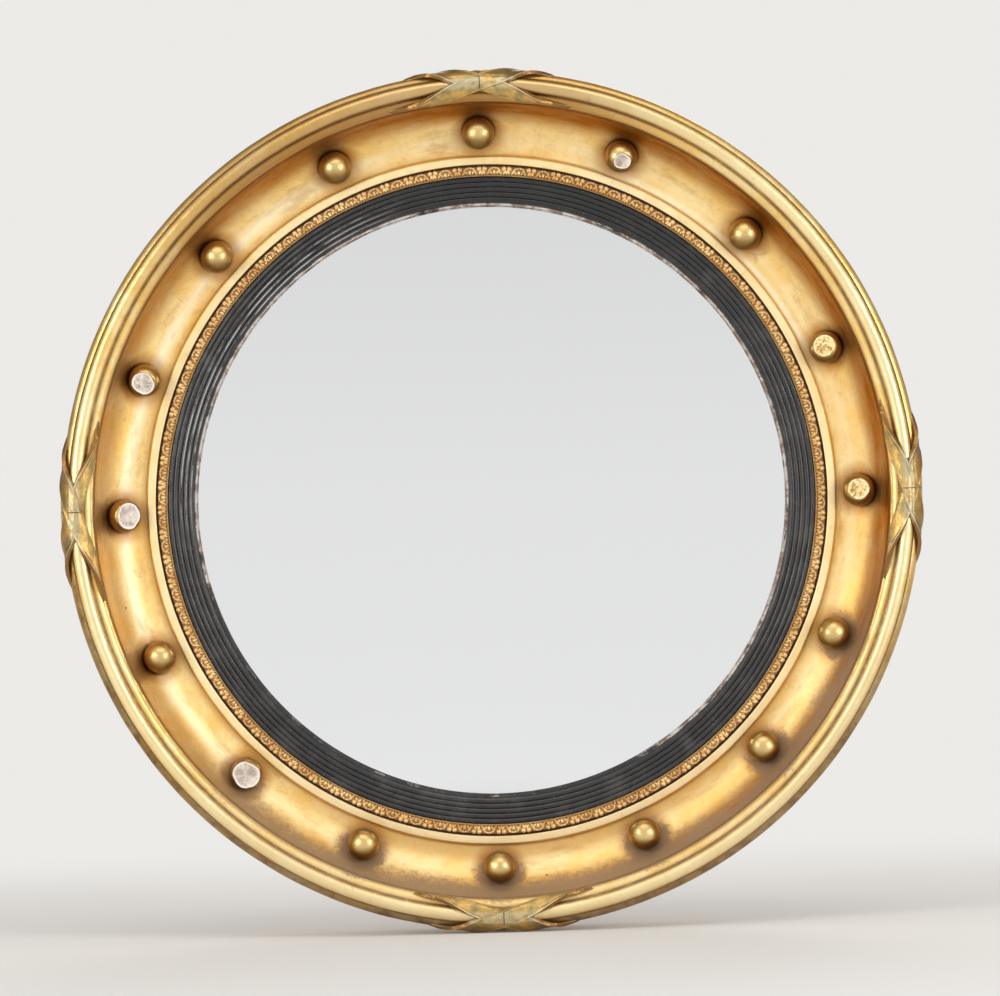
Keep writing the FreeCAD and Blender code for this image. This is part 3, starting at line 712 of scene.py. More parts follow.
@dataclass(frozen=True)
class Gilding:
    """Water gilding on red clay over gesso, rubbed and dulled by age, with painted highlights and painted
    shade.

    Attributes:
        name: The material's name.
        tone: How worn and dark it is.
        leaf: The colour of the sound leaf.
        worn: Its paler, drier colour.
        mottle: Its small browner patches.
        film_and_shade: The painted shade low in the hollow, beside the fillet and at the right.
        crown: The painted highlight along the crown of the main reed.
        browned: The painted shade on the reeds at the top.
        pale: The painted highlight along the hollow's middle, low at the right and on the fillet.
        shade_brown: The painted shade up the wall, round the balls and at the hollow's inner edge, and the
            brown streaks.
        ring: The painted shadow line round each ball.
        outer_reed_shade: The painted shade on the outermost reed.
        speck: The fly specks.
        gap_shadow: The painted shadow line at the fillet's inner edge.
        clay: The clay that shows where leaf has rubbed away.
        grime: The dark brown along the lines between the reeds and at the hollow's outer edge, and of the
            fine dirt and the cracks.
        dusty: The dust.
    """

    name: str
    tone: GiltTone
    leaf: Colour = srgb(246, 204, 122)
    worn: Colour = srgb(250, 223, 160)
    mottle: Colour = srgb(204, 156, 84)
    film_and_shade: Colour = srgb(190, 142, 72)
    crown: Colour = srgb(252, 236, 188)
    browned: Colour = srgb(166, 116, 56)
    pale: Colour = srgb(255, 246, 212)
    shade_brown: Colour = srgb(170, 102, 16)
    ring: Colour = srgb(84, 46, 16)
    outer_reed_shade: Colour = srgb(88, 52, 22)
    speck: Colour = srgb(92, 52, 24)
    gap_shadow: Colour = srgb(58, 34, 16)
    clay: Colour = srgb(158, 92, 46)
    grime: Colour = srgb(104, 62, 24)
    dusty: Colour = srgb(168, 142, 112)

    def make(self) -> bpy.types.Material:
        """Build the material."""
        rub_and_highlight, patina_and_shade, dirt = self.tone.value
        s = Shader(self.name)
        cloud = s.noise(38, 4, 0.6)
        s.colour = s.mix(cloud.span(0.36, 0.66), self.leaf, self.worn)
        s.paint(s.noise(230, 5, 0.78).span(0.46, 0.74) * 0.30, self.mottle)
        # Painted shade low in the hollow, beside the fillet and across its middle at the right.
        s.paint(self._painted_hollow_shade(s), self.film_and_shade)
        # Painted highlight along the main reed's crown, fading out at the upper left.
        bright = s.angle.facing(5.5).span(0.75, 0.98, 0.65, 0.0)
        s.paint(s.radius.band(0.2675, 0.2735, 0.0016) * bright, self.crown)
        # Painted shade on the reeds at the top.
        s.paint(self._painted_top_shade(s), self.browned)
        # Painted highlight along the hollow's middle and on the fillet.
        s.paint(self._painted_highlight(s), self.pale)
        # Painted shade round the balls, up the wall and at the hollow's inner edge, with brown streaks.
        s.paint((self._shade(s) * patina_and_shade).clamped(), self.shade_brown)
        # Painted shadow line round each ball.
        s.paint((self._ball_shadow_line(s) * patina_and_shade).clamped(), self.ring)
        # Painted shade on the outermost reed.
        s.paint(self._painted_rim_edge_shade(s), self.outer_reed_shade)
        s.paint(self._specks(s), self.speck)
        # Darker brown along the lines between the reeds and at the hollow's outer edge.
        ragged = self._grooves(s) * s.noise(150, 3, 0.7).span(0.2, 0.6, 0.55, 1.0)
        s.paint(ragged, self.grime)
        rubbed = s.noise(95, 5, 0.72).span(0.60, 0.70) * rub_and_highlight
        s.paint(rubbed, self.clay)
        s.paint(s.noise(900, 2, 0.8).span(0.66, 0.74) * dirt, self.grime)
        # Painted shadow line along the fillet's inner edge.
        s.paint(s.radius.span(PLAN.fillet_inner + 0.0001, PLAN.fillet_inner + 0.0006, 0.9, 0.0), self.gap_shadow)
        dust = self._dust(s)
        s.paint(dust, self.dusty)
        s.paint(self._cracks(s) * 0.2, self.grime)
        s.emboss(s.noise(60, 3, 0.5), 0.0009, 0.5)
        s.emboss(s.noise(420, 3, 0.6), 0.00025, 0.55)
        dull = rubbed * 0.3 + dust * 0.4 + ragged * 0.2
        satin = s.radius.span(0.2590, 0.2610, 0.17, 0.0)
        rough = (cloud.span(0.3, 0.7, 0.30, 0.39) + satin + dull).clamped()
        return s.close(rough, (0.86 - dull * 0.9).clamped())

    def _painted_hollow_shade(self, s: Shader) -> Signal:
        """Return the painted shade: low in the hollow, beside the fillet except at the upper right, and
        across the hollow's middle at the right.
        """
        low = s.angle.facing(2.95).span(0.45, 0.95) * s.radius.span(0.2320, 0.2400, 0.55, 0.0)
        # 1 except at the upper right, where the painted shade beside the fillet is left out.
        away_from_upper_right = s.angle.facing(0.85).span(0.35, 0.95, 1.0, 0.0)
        beside = away_from_upper_right * s.radius.band(0.2256, 0.2285, 0.0035) * s.radius.span(0.2252, 0.2258, 0.0, 0.50)
        right = s.angle.facing(1.57).span(0.80, 0.98, 0.0, 0.35) * s.radius.band(0.2340, 0.2440, 0.0050)
        return low | beside | right

    def _shade(self, s: Shader) -> Signal:
        """Return the painted shade round the balls, up the hollow's outer wall, most over the upper right,
        and along its inner edge, broken by streaks, with brown streaks of age over the hollow.
        """
        near = self._from_ball(s, 0.2425).span(0.0100, 0.0225, 0.95, 0.0)
        inside = s.radius.span(0.2600, 0.2612, 1.0, 0.0)
        turned = s.angle.facing(0.98).span(-1.0, 0.3, 0.5, 1.08)
        wall = s.radius.span(0.2430, 0.2552) * inside * turned
        foot = s.radius.band(0.2256, 0.2268, 0.0011)
        place = s.radius + s.depth
        streak = self._drawn(s, place, 6.0, 80.0).span(0.28, 0.66, 1.0, 0.72)
        film_and_shade = self._drawn(s, place, 5.0, 60.0).span(0.50, 0.72, 0.0, 0.36) * inside
        return (near | foot | wall) * streak | film_and_shade

    def _painted_highlight(self, s: Shader) -> Signal:
        """Return the painted highlight: along the hollow's middle, strongest at the left, low in the hollow
        at the right, and on the fillet.
        """
        left = s.angle.facing(4.95).span(0.35, 0.85, 0.35, 1.0)
        lower = s.angle.facing(3.9).span(0.30, 0.95, 0.0, 0.0075)
        middle = left * (s.radius - lower).band(0.2325, 0.2390, 0.0040)
        right = s.angle.facing(0.80).span(0.80, 0.98) * s.radius.band(0.2262, 0.2310, 0.0030)
        fillet = s.radius.span(0.2242, 0.2250, 0.55, 0.0)
        return (middle | right | fillet) * self._drawn(s, s.radius, 4.0, 120.0).span(0.30, 0.60, 0.40, 0.85)

    def _painted_top_shade(self, s: Shader) -> Signal:
        """Return the painted shade on the reeds at the top, strongest on the inner reed."""
        reeds = s.radius.span(0.2600, 0.2612) * s.radius.span(0.2655, 0.2672, 0.85, 0.55)
        return s.angle.facing(-0.25).span(0.66, 0.96) * reeds

    def _drawn(self, s: Shader, place: Signal, along: float, across: float) -> Signal:
        """Return noise drawn out round the mirror, as brush marks and wear run.

        Args:
            s: The shader.
            place: The place across the ring, in metres.
            along: How often the noise changes round the ring.
            across: How often it changes across the ring, per metre.

        Returns:
            The noise.
        """
        spot = s.at(s.x / s.radius * along, s.z / s.radius * along, place * across)
        return s.noise(1.0, 5, 0.68, spot)

    def _specks(self, s: Shader) -> Signal:
        """Return a few round dark specks, such as flies leave."""
        cell = s.cells("Color", 46.0)
        return cell.other("Distance").span(0.022, 0.045, 0.85, 0.0) * cell.span(0.60, 0.64)

    def _painted_rim_edge_shade(self, s: Shader) -> Signal:
        """Return the painted shade on the outermost reed, lighter at the upper right and a little at the
        upper left.
        """
        # This mask is where the painted shade is lighter: the lit upper right and, less, the upper left.
        rubbed = (s.angle.facing(0.9) | s.angle.facing(5.6) * 0.75).span(0.15, 0.95, 0.96, 0.12)
        ragged = s.noise(60, 4, 0.7).span(0.3, 0.6, 1.0, 0.72)
        return s.radius.span(0.2738, 0.2762) * rubbed * ragged

    def _from_ball(self, s: Shader, row: float) -> Signal:
        """Return the distance to the nearest ball's place on a row of the given radius."""
        turn = s.angle * (PLAN.ball_count / FULL_TURN)
        nearest = s.calc("ROUND", turn)
        ball = s.calc("FLOORED_MODULO", nearest, PLAN.ball_count)
        shifts = s.steps((ball + 0.5) / PLAN.ball_count, PLAN.ball_shifts, 2.0)
        along = (turn - nearest) * (FULL_TURN / PLAN.ball_count * row) - shifts * (math.radians(1.0) * row)
        across = s.radius - row
        return (along * along + across * across).root()

    def _ball_shadow_line(self, s: Shader) -> Signal:
        """Return the painted shadow line that hugs each ball, mostly on its outer side."""
        return self._from_ball(s, 0.2408).span(0.0104, 0.0128, 0.9, 0.0) * s.radius.span(0.2340, 0.2480, 0.25)

    def _grooves(self, s: Shader) -> Signal:
        """Return 1 in the lines between the reeds and at the hollow's outer edge."""
        (first, _), (second, _), (third, _) = PLAN.reeds
        inner = abs(s.radius - ((first + second) / 2 - 0.0018)).span(0.0002, 0.0017, 0.75, 0.0)
        outer = abs(s.radius - ((second + third) / 2 + 0.0024)).span(0.0002, 0.0011, 0.8, 0.0)
        edge = abs(s.radius - (PLAN.hollow_outer + 0.0003)).span(0.0002, 0.0010, 0.6, 0.0)
        return inner | outer | edge

    def _dust(self, s: Shader) -> Signal:
        """Return the dust that lies low in the hollow and on the reeds."""
        bottom = s.angle.facing(2.90).span(0.30, 0.72)
        ragged = (s.noise(260, 6, 0.85) - 0.5) * 0.026
        edge = ragged + 0.2440 + s.noise(26, 4, 0.65) * 0.014
        ledge = (s.radius - edge).span(-0.004, 0.005) * s.radius.span(0.2592, 0.2604, 1.0, 0.25)
        hidden = (self._from_ball(s, 0.2470) + ragged).span(0.012, 0.019, 1.0, 0.0) * bottom
        loose = s.noise(150, 5, 0.75).span(0.28, 0.42, 0.35, 1.0)
        return (bottom * ledge | hidden) * (loose * 0.84)

    def _cracks(self, s: Shader) -> Signal:
        """Return the hair cracks that run across the mouldings."""
        net = s.cells("Distance", 1.0, s.at(s.angle * 16.0, s.depth * 45.0), "DISTANCE_TO_EDGE")
        return net.span(0.0, 0.009, 1.0, 0.0) * s.noise(22, 2).span(0.56, 0.66)


@dataclass(frozen=True)
class TieGilding:
    """Dulled leaf of the ribbons: greenish and brown, with a pale painted highlight along the raised edges,
    which are dulled there like rubbed gesso, and painted shade on the sides and the outer parts.

    Attributes:
        name: The material's name.
        leaf: The dulled leaf.
        green: Where it has gone green and grey.
        clay: The red-brown clay that shows through.
        rub_and_highlight: The pale painted highlight along the raised edges, which are also dulled there like
            rubbed gesso.
        knotted: The grey gesso at the knot.
    """

    name: str = "gilt_tie"
    leaf: Colour = srgb(212, 170, 98)
    green: Colour = srgb(158, 140, 88)
    clay: Colour = srgb(128, 84, 52)
    rub_and_highlight: Colour = srgb(250, 228, 190)
    knotted: Colour = srgb(206, 198, 164)

    def make(self) -> bpy.types.Material:
        """Build the material; the band's own map gives the place across and along it."""
        s = Shader(self.name)
        uv = s.coordinates("UV")
        sideways, lengthways, _ = s.parts(uv)
        u, v = sideways - 0.5, lengthways - 0.5
        across, along = abs(u) * 2.0, abs(v)
        streak = s.noise(1.0, 4, 0.65, s.mapped(uv, (9.0, 3.0, 1.0)))
        s.colour = s.mix(s.noise(120, 3, 0.6).span(0.38, 0.62), self.leaf, self.green)
        worn = streak.span(0.52, 0.66) * along.span(0.30, 0.42, 1.0, 0.3)
        s.paint(worn * 0.45, self.clay)
        s.paint(across.band(0.70, 0.84, 0.06) * 0.35, srgb(88, 56, 26))
        # Painted shade on the outer part of each band, over the outer reed.
        s.paint(s.radius.span(0.2730, 0.2800) * 0.50, srgb(134, 96, 54))
        # Painted shade on the band's thin sides.
        s.paint(across.span(0.985, 0.999), srgb(140, 102, 54))
        knot = along.span(0.05, 0.11, 0.60, 0.0) * s.noise(150, 3, 0.6).span(0.3, 0.55)
        s.paint(knot, self.knotted)
        split = s.calc("MINIMUM", abs(s.x), abs(s.z)).span(0.0002, 0.0005, 0.85, 0.0)
        s.paint(split * along.span(0.08, 0.10, 1.0, 0.0), srgb(64, 42, 24))
        # Painted highlight along one raised edge in each half of a band, dulled there like rubbed gesso.
        facing = (u * v).span(-0.012, 0.004) * s.noise(260, 3, 0.7).span(0.30, 0.48, 0.35, 1.0)
        edge = across.band(0.935, 0.99, 0.012) * facing
        s.paint(edge, self.rub_and_highlight)
        s.emboss(streak, 0.0006, 0.5)
        s.emboss(s.noise(500, 3, 0.6), 0.0003, 0.5)
        dull = worn * 0.4 + (edge | knot) * 0.6
        return s.close(worn * 0.2 + edge * 0.3 + 0.30, (0.8 - dull).clamped())


@dataclass(frozen=True)
class BallGilding:
    """Burnished gilding of the balls, with small rubs and a few scuffs, a painted highlight on the front and
    painted shade underneath and round the edge.

    Attributes:
        name: The material's name.
        leaf: The colour of the leaf.
        warm: Its warmer patches.
        front: The painted highlight on the front.
        under: The painted shade on the side that faces down.
        foot: The brown at the foot, round the edge and on the outer side: dirt with painted shade.
        clay: The colour of the rubs.
    """

    name: str = "gilt_ball_leaf"
    leaf: Colour = srgb(166, 124, 54)
    warm: Colour = srgb(188, 146, 76)
    front: Colour = srgb(240, 212, 152)
    under: Colour = srgb(130, 98, 46)
    foot: Colour = srgb(98, 58, 24)
    clay: Colour = srgb(92, 56, 26)

    def make(self) -> bpy.types.Material:
        """Build the material."""
        s = Shader(self.name)
        tone = s.noise(130, 3, 0.6).span(0.35, 0.68)
        s.colour = s.mix(tone, self.leaf, self.warm)
        # Painted highlight: the front of each ball is paler.
        s.paint(s.depth.span(0.0560, 0.0600, 0.0, 0.65), self.front)
        upward = s.parts(s.coordinates("Normal"))[2]
        # Painted shade on the side that faces down.
        s.paint(upward.span(-0.60, -0.05, 0.80, 0.0), self.under)
        outer = s.radius.span(0.2440, 0.2500) * 0.8
        # Dirt with painted shade at the foot, round the edge and on the outer side.
        s.paint((s.depth.span(0.0480, 0.0586, 1.0, 0.0) | outer) * 0.95, self.foot)
        rub_and_highlight = s.noise(260, 4, 0.75).span(0.68, 0.76) * 0.7
        s.paint(rub_and_highlight, self.clay)
        s.emboss(s.noise(240, 3, 0.5), 0.0005, 0.35)
        s.emboss(s.noise(900, 2, 0.6), 0.00015, 0.4)
        return s.close(tone.span(0.0, 1.0, 0.33, 0.38) + rub_and_highlight * 0.3, 0.92 - rub_and_highlight * 0.5)


@dataclass(frozen=True)
class Gesso:
    """Broken white gesso, rough and greyed by handling.

    Attributes:
        name: The material's name.
        white: The fresh white.
        grey: The handled grey.
    """

    name: str
    white: Colour
    grey: Colour

    def make(self) -> bpy.types.Material:
        """Build the material."""
        s = Shader(self.name)
        s.colour = s.mix(s.noise(160, 4, 0.6).span(0.34, 0.62), self.grey, self.white)
        s.paint(s.noise(1300, 2, 0.8).span(0.64, 0.72) * 0.15, srgb(150, 132, 116))
        s.emboss(s.noise(500, 4, 0.7), 0.0004, 0.7)
        return s.close(0.88)


@dataclass(frozen=True)
class BruisedLeaf:
    """Pale, crinkled leaf of a ball's flattened face.

    Attributes:
        name: The material's name.
        leaf: The leaf on the flats.
        fold: The brown in the folds.
    """

    name: str = "bruised_leaf"
    leaf: Colour = srgb(255, 236, 186)
    fold: Colour = srgb(180, 138, 80)

    def make(self) -> bpy.types.Material:
        """Build the material."""
        s = Shader(self.name)
        folds = s.noise(300, 5, 0.75, warp=0.6).span(0.50, 0.64)
        s.colour = s.mix(folds * 0.7, self.leaf, self.fold)
        s.emboss(s.noise(210, 4, 0.65), 0.0022, 1.0)
        return s.close(folds * 0.2 + 0.34, 0.85)


@dataclass(frozen=True)
class BronzedGilding:
    """Brown bronzed ground of the leaf band, with gold left on the high parts.

    Attributes:
        name: The material's name.
        raised: Whether this is the carving rather than its ground.
        turnover: The radius where the gold inner row gives way to the browner outer row.
    """

    name: str
    raised: bool
    turnover: float = 0.2160

    def make(self) -> bpy.types.Material:
        """Build the material."""
        s = Shader(self.name)
        patch = s.noise(70, 4, 0.65).span(0.36, 0.66)
        fine = s.noise(700, 3, 0.7)
        rough, metal = self._carving(s, patch) if self.raised else self._ground(s, patch)
        s.paint(fine.span(0.58, 0.68) * 0.45, srgb(70, 44, 24))
        s.emboss(fine, 0.0003, 0.6)
        return s.close(rough, metal)

    def _carving(self, s: Shader, patch: Signal) -> tuple[float, Signal]:
        """Colour the carving, gold on its high parts, and return its roughness and metal."""
        outer = s.radius.span(self.turnover - 0.0006, self.turnover + 0.0010) * 0.8
        brown = s.mix(outer, srgb(190, 134, 70), srgb(146, 98, 54))
        gold = s.mix(outer, s.mix(patch, srgb(240, 196, 116), srgb(255, 232, 170)), srgb(240, 198, 140))
        share = (s.depth.span(0.0381, 0.0399) * 0.75 + patch * 0.40).clamped()
        s.colour = s.mix(share, brown, gold)
        s.paint(s.radius.span(0.2136, 0.2148, 0.62, 0.0), srgb(124, 88, 50))
        return 0.38, share * (0.8 - outer * 0.4)

    def _ground(self, s: Shader, patch: Signal) -> tuple[float, Signal]:
        """Colour the ground, with its bead edge and a painted shadow line at its outer edge, and return its
        roughness and metal.
        """
        bead = s.radius.span(PLAN.leaf_inner + 0.0010, PLAN.leaf_inner + 0.0014, 1.0, 0.0)
        bead = bead * s.noise(260, 3, 0.7).span(0.3, 0.55, 0.25)
        s.colour = s.mix(patch, srgb(176, 126, 72), srgb(212, 168, 108))
        s.paint(s.radius.span(self.turnover - 0.0005, self.turnover + 0.0012), srgb(138, 94, 54))
        # Painted shadow line at the ground's outer edge, beside the fillet.
        s.paint(s.radius.span(0.2184, 0.2188), srgb(52, 30, 16))
        s.paint(bead, srgb(180, 144, 96))
        return 0.48, bead * 0.4 + 0.35


@dataclass(frozen=True)
class EbonisedWood:
    """Black stained and polished pear wood, dusty, with a worn lip next to the glass and a painted highlight
    on the reeds at the upper left.

    Attributes:
        name: The material's name.
        black: The stain.
        dusty: The greyer worn black.
        deep: The darker black at the top.
        rub_and_highlight: The whitish painted highlight on the reeds' crests at the upper left.
        gloss: How strongly the polish reflects.
    """

    name: str = "ebonised_polish"
    black: Colour = srgb(23, 23, 25)
    dusty: Colour = srgb(60, 58, 56)
    deep: Colour = srgb(6, 8, 11)
    rub_and_highlight: Colour = srgb(206, 206, 210)
    gloss: float = 0.62

    def make(self) -> bpy.types.Material:
        """Build the material."""
        s = Shader(self.name)
        s.colour = s.mix(s.noise(60, 4, 0.65).span(0.42, 0.75), self.black, self.dusty)
        # Darker black towards the top.
        s.paint(s.angle.facing(0.1).span(0.78, 0.97, 0.0, 0.75), self.deep)
        worn = s.radius.span(PLAN.sight_radius + 0.0009, PLAN.sight_radius + 0.0019, 1.0, 0.0)
        kept = s.angle.facing(3.53).span(0.35, 0.85, 0.42, 0.62)
        chip = (self._drawn(s, 14.0, 300.0) - kept).span(-0.05, 0.06)
        lip = s.mix(s.noise(120, 3, 0.7).span(0.4, 0.6), srgb(140, 112, 96), srgb(214, 206, 198))
        s.paint(worn * chip, lip)
        pitch = (PLAN.reeds_outer - PLAN.reeds_inner) / PLAN.slip_reeds
        waves = s.calc("COSINE", (s.radius - PLAN.reeds_inner) * (FULL_TURN / pitch))
        crests = s.radius.span(0.2040, 0.2070, 1.0, 0.15) * waves.span(-0.95, -0.60, 1.0, 0.0)
        upper_left = s.angle.facing(5.30).span(0.72, 0.96, 0.0, 0.75)
        # Painted highlight on the reeds' crests at the upper left, broken by streaks.
        s.paint(crests * upper_left * self._drawn(s, 6.0, 200.0).span(0.40, 0.54), self.rub_and_highlight)
        s.paint(s.noise(1100, 2, 0.85).span(0.68, 0.73) * 0.75, srgb(176, 168, 158))
        s.emboss(s.noise(300, 3, 0.6), 0.0001, 0.35)
        s.feed(s.surface.inputs["Specular IOR Level"], self.gloss)
        return s.close(s.noise(90, 3).span(0.3, 0.7, 0.26, 0.38) + worn * 0.3)

    def _drawn(self, s: Shader, along: float, across: float) -> Signal:
        """Return noise drawn out round the slip, as its rubs run, by how often it changes each way."""
        spot = s.at(s.x / s.radius * along, (s.depth - s.radius) * across, s.z / s.radius * along)
        return s.noise(1.0, 5, 0.72, spot)


@dataclass(frozen=True)
class MirrorPlate:
    """Silvered convex plate: clear and even, greyed a little at its edge, painted brown behind.

    Attributes:
        name: The material's name.
        silver: Its reflection colour.
        tarnish: Its colour near the edge.
        bulge: How the depth of its front falls with the square of the radius, per metre.
    """

    name: str = "silvered_plate"
    silver: Colour = (0.862, 0.878, 0.908, 1.0)
    tarnish: Colour = (0.70, 0.69, 0.66, 1.0)
    bulge: float = 0.616

    def make(self) -> bpy.types.Material:
        """Build the material."""
        s = Shader(self.name)
        edge = s.radius.span(0.1915, 0.1945) * s.noise(120, 3, 0.7).span(0.4, 0.7)
        s.colour = s.mix(edge * 0.55, self.silver, self.tarnish)
        back = (s.depth + s.radius * s.radius * self.bulge).span(0.0503, 0.0507, 1.0, 0.0)
        s.paint(back, s.mix(s.noise(45, 4).span(0.4, 0.65), srgb(96, 74, 58), srgb(66, 52, 44)))
        return s.close(back * 0.6 + 0.012, 1.0 - back)


class GrainRun(Enum):
    """Which way the grain of a pine piece runs, as a turn from upright."""

    UPRIGHT = 0.0
    ALONG_RING = QUARTER_TURN


@dataclass(frozen=True)
class Pine:
    """Old pine, browned by air, with grain, pores, knots and dark handling.

    Attributes:
        name: The material's name.
        run: Which way the grain runs.
        turn: The piece's clockwise angle from the top, in radians.
        tint: How much darker than the palest piece it is.
        shift: Where in the tree the piece was cut, so that no two match.
    """

    name: str
    run: GrainRun
    turn: float = 0.0
    tint: float = 0.0
    shift: float = 0.0

    def make(self) -> bpy.types.Material:
        """Build the material."""
        s = Shader(self.name)
        cut = (self.shift, self.shift * 0.37, 0.0)
        turned = s.mapped(s.place, turn=-(self.turn + self.run.value), shift=cut)
        drawn = s.mapped(turned, (1.0, 1.0, 0.055))
        phase = s.parts(drawn)[0] * 150.0 + s.noise(9, 2, 0.5, drawn) * 26.0
        late = abs(s.calc("FRACT", phase) - 0.5).span(0.18, 0.5)
        fibre = s.noise(900, 3, 0.6, drawn)
        s.colour = s.mix(late, srgb(178, 134, 88), srgb(132, 88, 50))
        s.paint(fibre.span(0.45, 0.7) * 0.45, srgb(104, 70, 42))
        s.paint(s.noise(14, 4, 0.6).span(0.36, 0.7) * 0.55, srgb(112, 82, 56))
        s.paint(self.tint, srgb(92, 62, 38))
        s.paint(s.noise(230, 3, 0.8).span(0.64, 0.7) * 0.4, srgb(54, 38, 26))
        s.emboss(late, 0.0003, 0.35)
        s.emboss(fibre, 0.0004, 0.5)
        return s.close(fibre.span(0.3, 0.7, 0.62, 0.82))


@dataclass(frozen=True)
class OldMetal:
    """Brass or iron, dulled, with stains and scratches.

    Attributes:
        name: The material's name.
        bright: The rubbed metal.
        dark: The stain or rust.
        metal: How metallic the rubbed parts are.
        stained: How much of it is stained.
    """

    name: str
    bright: Colour
    dark: Colour
    metal: float
    stained: float

    def make(self) -> bpy.types.Material:
        """Build the material."""
        s = Shader(self.name)
        stain = s.noise(190, 4, 0.7).span(0.36, 0.62) * self.stained
        s.colour = s.mix(stain, self.bright, self.dark)
        scratches = s.noise(1500, 2, 0.7, s.mapped(s.place, (1.0, 1.0, 0.12)))
        s.paint(scratches.span(0.6, 0.72) * 0.35, self.bright)
        s.emboss(s.noise(800, 3, 0.65), 0.00025, 0.5)
        return s.close(stain * 0.4 + 0.32, (1.0 - stain) * self.metal)


# ------------------------------------------------------------------ gilded rings

@dataclass
class GiltRings:
    """The turned and gilded rings: the reeded rim, the hollow ring and the inner fillet.

    Attributes:
        steps: Stations round each ring.
        groove_fill: How far gesso fills the lines between the reeds.
        trim: How far short of their crossing the reeds end, in degrees.
        fillet_round: The round along the fillet's two edges.
        fillet_height: How far the fillet stands over the floor.
    """

    steps: int = 400
    groove_fill: float = 0.0003
    trim: float = 4.0
    fillet_round: float = 0.0011
    fillet_height: float = 0.004
    rim_finish: Gilding = Gilding("gilt_rim", GiltTone.RIM)
    hollow_finish: Gilding = Gilding("gilt_hollow", GiltTone.HOLLOW)
    fillet_finish: Gilding = Gilding("gilt_fillet", GiltTone.FILLET)

    def build(self) -> None:
        """Build and dress the three rings."""
        self.rim()
        self.hollow()
        self.fillet()

    def reed_angle(self, reed: Point, point: Point) -> float:
        """Return the angle of a point seen from a reed's centre, in degrees from -90 up."""
        angle = math.degrees(math.atan2(point[1] - reed[1], point[0] - reed[0]))
        return angle + 360 if angle < -90 else angle

    def rim(self) -> None:
        """Turn the rim with its three reeds."""
        inner, main, outer = PLAN.reeds
        radius = PLAN.reed_radius
        first, second = apex(inner, main, radius), apex(main, outer, radius)
        low = -math.degrees(math.asin((outer[1] - PLAN.seat_depth) / radius))
        trim, seat = self.trim, PLAN.seat_depth
        section = arc(inner, radius, 180, self.reed_angle(inner, first) + trim, 18)
        section.append((first[0] + 0.0001, first[1] + self.groove_fill))
        section += arc(main, radius, self.reed_angle(main, first) - trim,
                       self.reed_angle(main, second) + trim, 26)
        section.append((second[0] + 0.0002, second[1] + self.groove_fill))
        section += arc(outer, radius, self.reed_angle(outer, second) - trim, low, 20)
        section += [(PLAN.side_radius + 0.008, seat), (PLAN.side_radius, seat),
                    (PLAN.hollow_outer + 0.0012, seat), (PLAN.hollow_outer + 0.0006, seat + 0.0004)]
        piece = turn_section("reeded_rim_gilt", section, self.steps)
        wobble(piece, 0.0003, 0.022)
        dress(piece, self.rim_finish.make(), Slot.GILDING, "reeded_rim")

    def hollow(self) -> None:
        """Turn the ring with the hollow, its outer cove, its side and the rebate behind."""
        centre = (PLAN.hollow_inner, PLAN.floor_depth + PLAN.hollow_arc)
        end = math.degrees(math.atan2(PLAN.seat_depth - centre[1], PLAN.hollow_outer - centre[0]))
        section = [(PLAN.leaf_inner, PLAN.floor_depth - 0.0002), (PLAN.leaf_inner + 0.0003, PLAN.floor_depth)]
        section += [(PLAN.fillet_inner, PLAN.floor_depth)]
        section += arc(centre, PLAN.hollow_arc, -90, end, 30)
        foot = PLAN.reeds[2][0] - 0.001
        section += [(foot - 0.0004, PLAN.seat_depth), (foot, PLAN.seat_depth - 0.0004),
                    (foot, PLAN.seat_depth - 0.0017)]
        section += bow((foot, PLAN.seat_depth - 0.002), (PLAN.side_radius, 0.038), 0.024, 12, 1)
        section += [(PLAN.side_radius, 0.030), (PLAN.side_radius, PLAN.back_thickness + 0.0003),
                    (PLAN.side_radius - 0.0003, PLAN.back_thickness), (0.240, PLAN.back_thickness),
                    (PLAN.rebate_radius, PLAN.back_thickness), (PLAN.rebate_radius, 0.0333),
                    (PLAN.leaf_inner, 0.0333)]
        piece = turn_section("cavetto_ring_gilt", section, self.steps)
        wobble(piece, 0.0002, 0.03)
        dress(piece, self.hollow_finish.make(), Slot.GILDING, "cavetto_ring")

    def fillet(self) -> None:
        """Turn the flat bright fillet inside the hollow."""
        inner, outer, base = PLAN.fillet_inner, PLAN.hollow_inner, PLAN.floor_depth
        top, edge = base + self.fillet_height, self.fillet_round
        section = [(inner, base), (inner, top - edge)]
        section += arc((inner + edge, top - edge), edge, 180, 90, 5)[1:]
        section += arc((outer - edge, top - edge), edge, 90, 0, 5)
        section += [(outer, base)]
        piece = turn_section("inner_fillet_gilt", section, self.steps)
        wobble(piece, 0.0002, 0.018)
        dress(piece, self.fillet_finish.make(), Slot.GILDING, "inner_fillet")


# ------------------------------------------------------------------ leaf band

